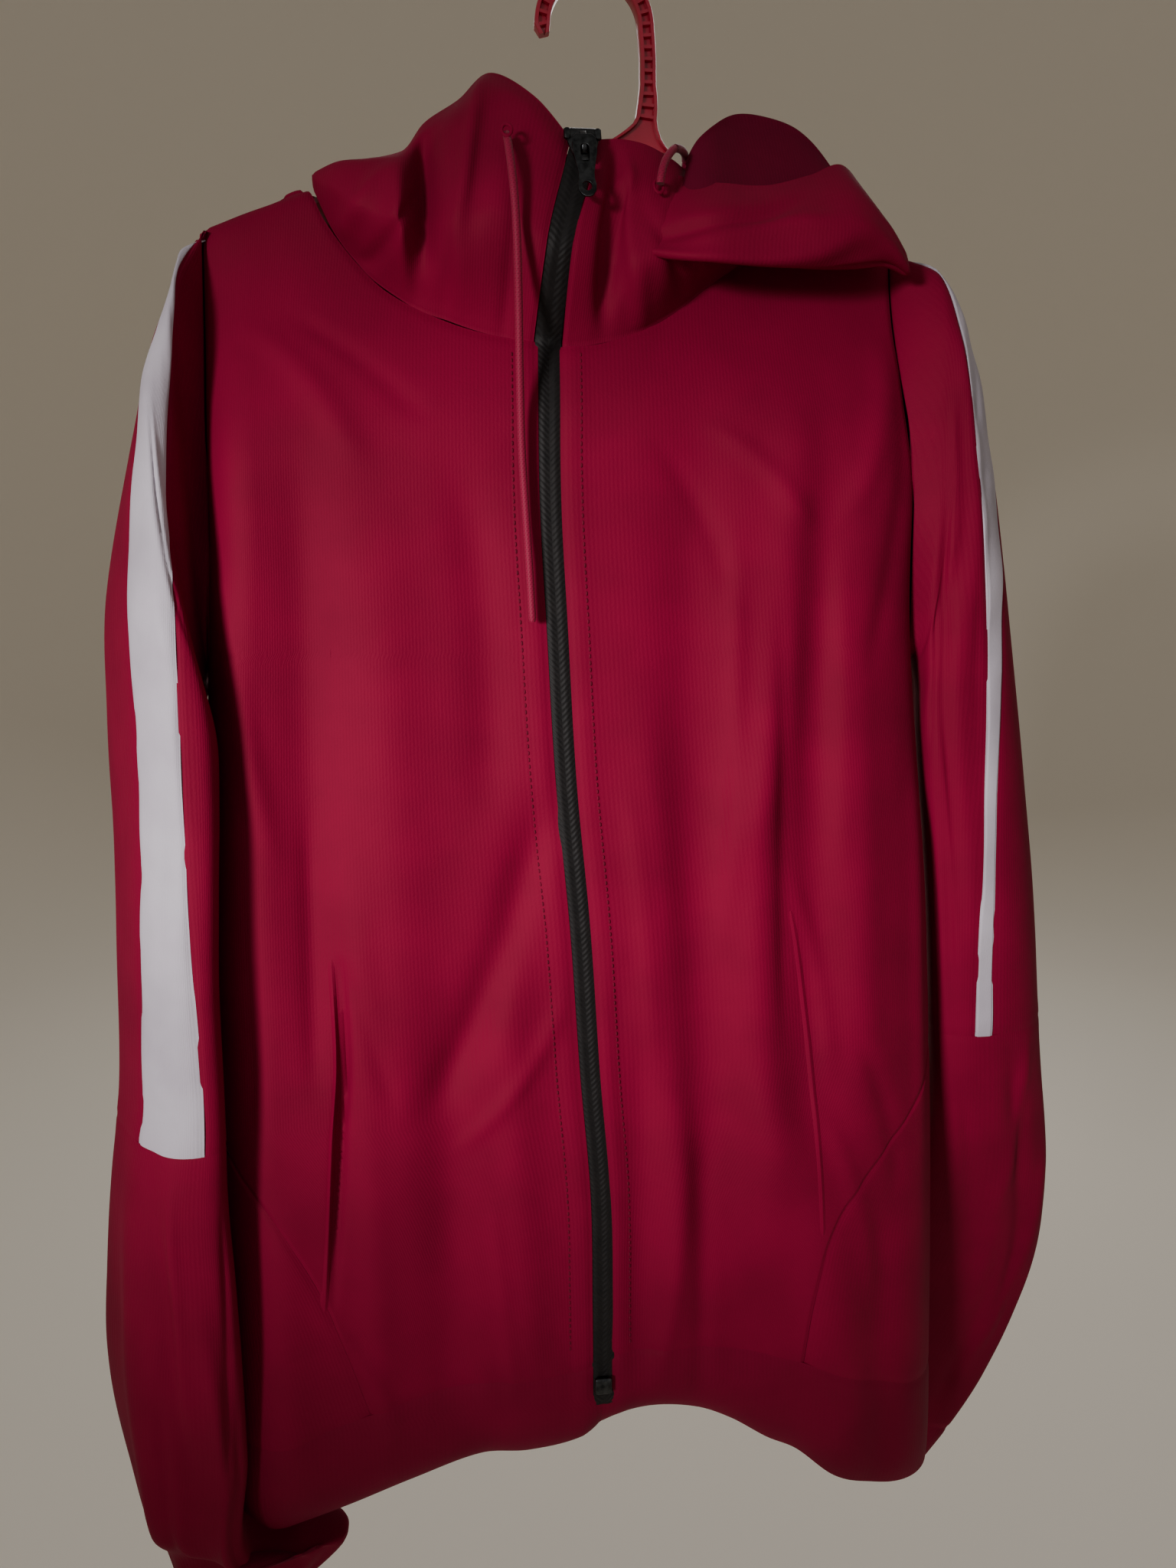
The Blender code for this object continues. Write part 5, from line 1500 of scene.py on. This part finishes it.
def make_bottom_stop():
    foot, y = zip_face(ZIP_FOOT - 3)
    solid_bar("bottom_stop", [
        (place(foot, ZIP_FOOT - 10 + down, y - 1.6), half, deep)
        for down, half, deep in ((0, 3.8, 0.8), (0.6, 4.7, 1.4), (9.2, 4.7, 1.4), (9.9, 3.8, 0.8))
    ], 24, 5.0, "zip_stop")


# ---------------------------------------------------------------- drawcords

CORD_SIDES = 14
CORD_ROUTES = {
    # points drawn along the cord, its far end, how much its ends narrow, then its route
    "drawcord_right": (90, "bare", 0.72, [
        (-49, 93, -53), (-48.5, 99, -58), (-47.5, 112, -63.5), (-46.5, 127, -66), (-45.8, 147, -65),
        (-45.4, 170, -60), (-45.4, 200, -57), (-45.2, 235, -57), (-44, 265, -58),
        (-43, 290, -60), (-42, 318, -61),
    ]),
    "drawcord_left": (50, "object", 1.0, [
        (24, 112, -53), (24.8, 107, -52.5), (27.5, 100, -49), (32.5, 93, -43), (37.5, 89.5, -34),
        (41.5, 88.5, -26), (43.5, 90, -19.5), (44, 97, -14.5), (43.5, 109, -13), (43, 122, -13.5),
        (42, 134, -14),
    ]),
}


def make_drawcords():
    """Each cord on its own route, from its eyelet to its end."""
    for name, (count, far_end, tip, route) in CORD_ROUTES.items():
        path = [place(*along(route, k / (count - 1))) for k in range(count)]
        made = bmesh.new()
        uv_layer = made.loops.layers.uv.new("cut")
        rings, runs = [], [0.0]
        for index, spot in enumerate(path):
            ahead, behind = path[min(index + 1, count - 1)], path[max(index - 1, 0)]
            way = (ahead - behind).normalized()
            side = way.cross(BACK if abs(way.y) < 0.8 else RIGHT).normalized()
            up = side.cross(way)
            runs.append(runs[-1] + (ahead - spot).length)
            half = CORD_WIDTH / 2 * MM * (tip if index in (0, count - 1) else 1.0)
            turns = [2 * math.pi * k / CORD_SIDES for k in range(CORD_SIDES)]
            rings.append(
                [made.verts.new(spot + (side * math.cos(t) + up * math.sin(t)) * half) for t in turns]
            )
        for i, (a, b) in enumerate(zip(rings, rings[1:])):
            for k in range(CORD_SIDES):
                n = (k + 1) % CORD_SIDES
                face = made.faces.new((a[k], a[n], b[n], b[k]))
                spots = ((k, i), (k + 1, i), (k + 1, i + 1), (k, i + 1))
                for loop, (turn, along_it) in zip(face.loops, spots):
                    loop[uv_layer].uv = (turn / CORD_SIDES * CORD_WIDTH * math.pi * MM, runs[along_it])
        made.faces.new(rings[0])
        made.faces.new(rings[-1])
        piece = link(f"{name}_braid", made, [CORD])
        seat(piece, "braid_crimson", name)


def make_eyelets():
    """A ring of close stitches round the hole that each drawcord comes out of."""
    count, sides = 44, 8
    for name, centre, lean in (
        ("eyelet_right", place(-49, 92.5, -56.6), Vector((-0.1, -1, 0.45)).normalized()),
        ("eyelet_left", place(24, 112, -49.5), Vector((0.15, -1, 0.3)).normalized()),
    ):
        side = lean.cross(UP).normalized()
        up = side.cross(lean)
        made = bmesh.new()
        rings = []
        for k in range(count):
            turn = 2 * math.pi * k / count
            out = side * math.cos(turn) * 0.8 + up * math.sin(turn) * 1.1
            thick = 0.8 + 0.12 * (k % 2)
            turns = [2 * math.pi * j / sides for j in range(sides)]
            rings.append([
                made.verts.new(centre + (out * (2.9 + thick * math.cos(t))
                                         + lean * thick * 0.75 * math.sin(t)) * MM)
                for t in turns
            ])
        loft(made, rings, closed=True)
        seat(link(name, made, [CRIMSON]), "tricot_crimson")


# ---------------------------------------------------------------- hanger

RUNG_PITCH = 5.4
RAIL = 1.9  # thickness of the two rims of the hook's channel
CHANNEL_DEPTH = 2.6
RUNG_SECTION = [(1.15, -1.3), (0.75, -3.65), (-0.75, -3.65), (-1.15, -1.3)]
LAST_RUNG = 68
HOOK_TIP = 2.6  # half size of its end face
HOOK_ARC_STEPS = 48


def hook_path():
    centre_down = HOOK_RADIUS - HOOK_BAR / 2
    path = [(-HOOK_RADIUS + 1.0, centre_down + HOOK_TIP_DROP)]
    for step in range(HOOK_ARC_STEPS + 1):
        turn = math.pi - math.pi * step / HOOK_ARC_STEPS
        path.append((HOOK_RADIUS * math.cos(turn), centre_down - HOOK_RADIUS * math.sin(turn)))
    path += [(27.2, 30), (27.5, 36), (27.5, 42), (27.5, 48), (27.5, 54), (27.2, 59), (26.6, 64),
             (26, 68), (25.2, 71.5), (24.5, 74.5), (24, 77.4)]
    return path


def hook_flare(down):
    """How far the stem spreads on each side before it joins the arms."""
    return 1.2 * smooth_step((down - 46) / 14) + 11.0 * max((down - 62) / 15.4, 0.0) ** 2


def make_hook():
    """A channel moulded with cross ribs on its front, and a plain back."""
    path = hook_path()
    made = bmesh.new()
    rings = []
    deep = HOOK_BAR / 2
    for index, (x, down) in enumerate(path):
        ahead, behind = path[min(index + 1, len(path) - 1)], path[max(index - 1, 0)]
        heading = Vector((ahead[0] - behind[0], 0, behind[1] - ahead[1])).normalized()
        across = heading.cross(BACK).normalized()
        wide = HOOK_BAR / 2 + hook_flare(down if index > HOOK_ARC_STEPS - 8 else 0.0)
        if index == 0:
            wide = HOOK_TIP
        depth = HOOK_TIP if index == 0 else deep
        half = [
            (wide, depth * 0.7), (wide * 0.8, depth), (wide, -depth * 0.8), (wide * 0.92, -depth),
            (wide - RAIL, -depth), (wide - RAIL - 0.4, -depth + CHANNEL_DEPTH),
        ]
        outline = [(-half[k][0], half[k][1]) for k in (2, 3, 4, 5)] + [half[k] for k in (5, 4, 3, 2, 0, 1)]
        outline += [(-half[k][0], half[k][1]) for k in (1, 0)]
        rings.append([made.verts.new(place(x, down, 0) + (across * a + BACK * b) * MM) for a, b in outline])
    loft(made, rings)
    seat(link("hook_channel", made, [PLASTIC]), "polypropylene_red", "hanger_hook")
    make_rungs(path)


def make_rungs(path):
    """The cross ribs in the hook's channel, wider at their feet."""
    made = bmesh.new()
    run, next_rung = 0.0, 4.0
    for (x0, d0), (x1, d1) in zip(path, path[1:]):
        step = math.hypot(x1 - x0, d1 - d0)
        while next_rung < run + step:
            share = (next_rung - run) / step
            x, down = x0 + (x1 - x0) * share, d0 + (d1 - d0) * share
            heading = Vector((x1 - x0, 0, d0 - d1)).normalized()
            across = heading.cross(BACK).normalized()
            on_stem = run > 80
            if down > LAST_RUNG and on_stem:
                break
            wide = HOOK_BAR / 2 - RAIL + 0.2 + (hook_flare(down) if on_stem else 0.0)
            loft(made, [
                [
                    made.verts.new(place(x, down, 0) + (across * a + heading * half + BACK * b) * MM)
                    for half, b in RUNG_SECTION
                ]
                for a in (-wide, wide)
            ])
            next_rung += RUNG_PITCH
        run += step
    seat(link("hook_rungs", made, [PLASTIC], smooth=False), "polypropylene_red")


# ---------------------------------------------------------------- stage and light

STAGE_DROP = 0.42  # metres below the part, as are the next two in size
STAGE_FLAT = 2.6
STAGE_SWEEP = 2.2

def make_stage():
    """A pale floor that sweeps up far away on every side."""
    floor_z = cad_box[0][2] - STAGE_DROP
    made = bmesh.new()
    profile = [(STAGE_FLAT, 0.0)]
    for step in range(1, 11):
        turn = math.pi / 2 * step / 10
        profile.append((STAGE_FLAT + STAGE_SWEEP * math.sin(turn), STAGE_SWEEP * (1 - math.cos(turn))))
    profile.append((STAGE_FLAT + STAGE_SWEEP, 2 * STAGE_SWEEP))
    count = 64
    turns = [2 * math.pi * k / count for k in range(count)]
    rings = [
        [made.verts.new((radius * math.cos(t), radius * math.sin(t), floor_z + height)) for t in turns]
        for radius, height in profile
    ]
    made.faces.new(rings[0])
    for a, b in zip(rings, rings[1:]):
        for k in range(count):
            n = (k + 1) % count
            made.faces.new((a[k], a[n], b[n], b[k]))
    paint = finish("studio_floor", {"Roughness": 0.9, "Base Color": linear("#f2ebdf")})[0]
    link("floor", made, [paint])


def lamp(name, spot, target, size, power, colour, kind="AREA"):
    light = bpy.data.lights.new(name, kind)
    if kind == "AREA":
        light.shape = "DISK"
        light.size = size
    else:
        light.shadow_soft_size = size / 2
    light.energy = power
    light.color = linear(colour)[:3]
    made = bpy.data.objects.new(name, light)
    made.location = spot
    made.rotation_euler = (Vector(target) - Vector(spot)).to_track_quat("-Z", "Y").to_euler()
    bpy.context.scene.collection.objects.link(made)
    return light


def make_light():
    middle = (0.0, 0.0, -0.45)
    key = lamp("key", (-1.15, -1.45, -0.15), (0.03, 0.0, -0.42), 0.36, 215, "#fffaf8", "SPOT")
    key.spot_size = math.radians(26)
    key.spot_blend = 1.0
    lamp("fill", (0.7, -2.0, 0.1), middle, 1.6, 3.5, "#f6f6ff")
    lamp("rim", (0.5, 1.9, 0.9), middle, 1.4, 20, "#ffffff")
    world = bpy.data.worlds.new("studio")
    world.use_nodes = True
    background = world.node_tree.nodes["Background"].inputs
    background["Color"].default_value = linear("#d9d4cc")
    background["Strength"].default_value = 0.34
    bpy.context.scene.world = world


# ---------------------------------------------------------------- the whole scene

def main():
    make_drawcords()
    make_fronts()
    make_side_panels()
    make_back()
    make_hem()
    make_pockets()
    make_sleeve("right", SLEEVE_RIGHT, SLEEVE_FOLDS_RIGHT, SLEEVE_CREASES_RIGHT, ARMHOLE_RIGHT,
                STRIPE_RIGHT)
    make_sleeve("left", SLEEVE_LEFT, SLEEVE_FOLDS_LEFT, SLEEVE_CREASES_LEFT, ARMHOLE_LEFT,
                STRIPE_LEFT)
    make_hood()
    make_zip()
    make_pull(make_slider())
    make_bottom_stop()
    make_eyelets()
    make_front_stitches()
    make_hook()
    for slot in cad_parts["hanger_arms"].material_slots:
        slot.material = PLASTIC
    make_stage()
    make_light()


main()
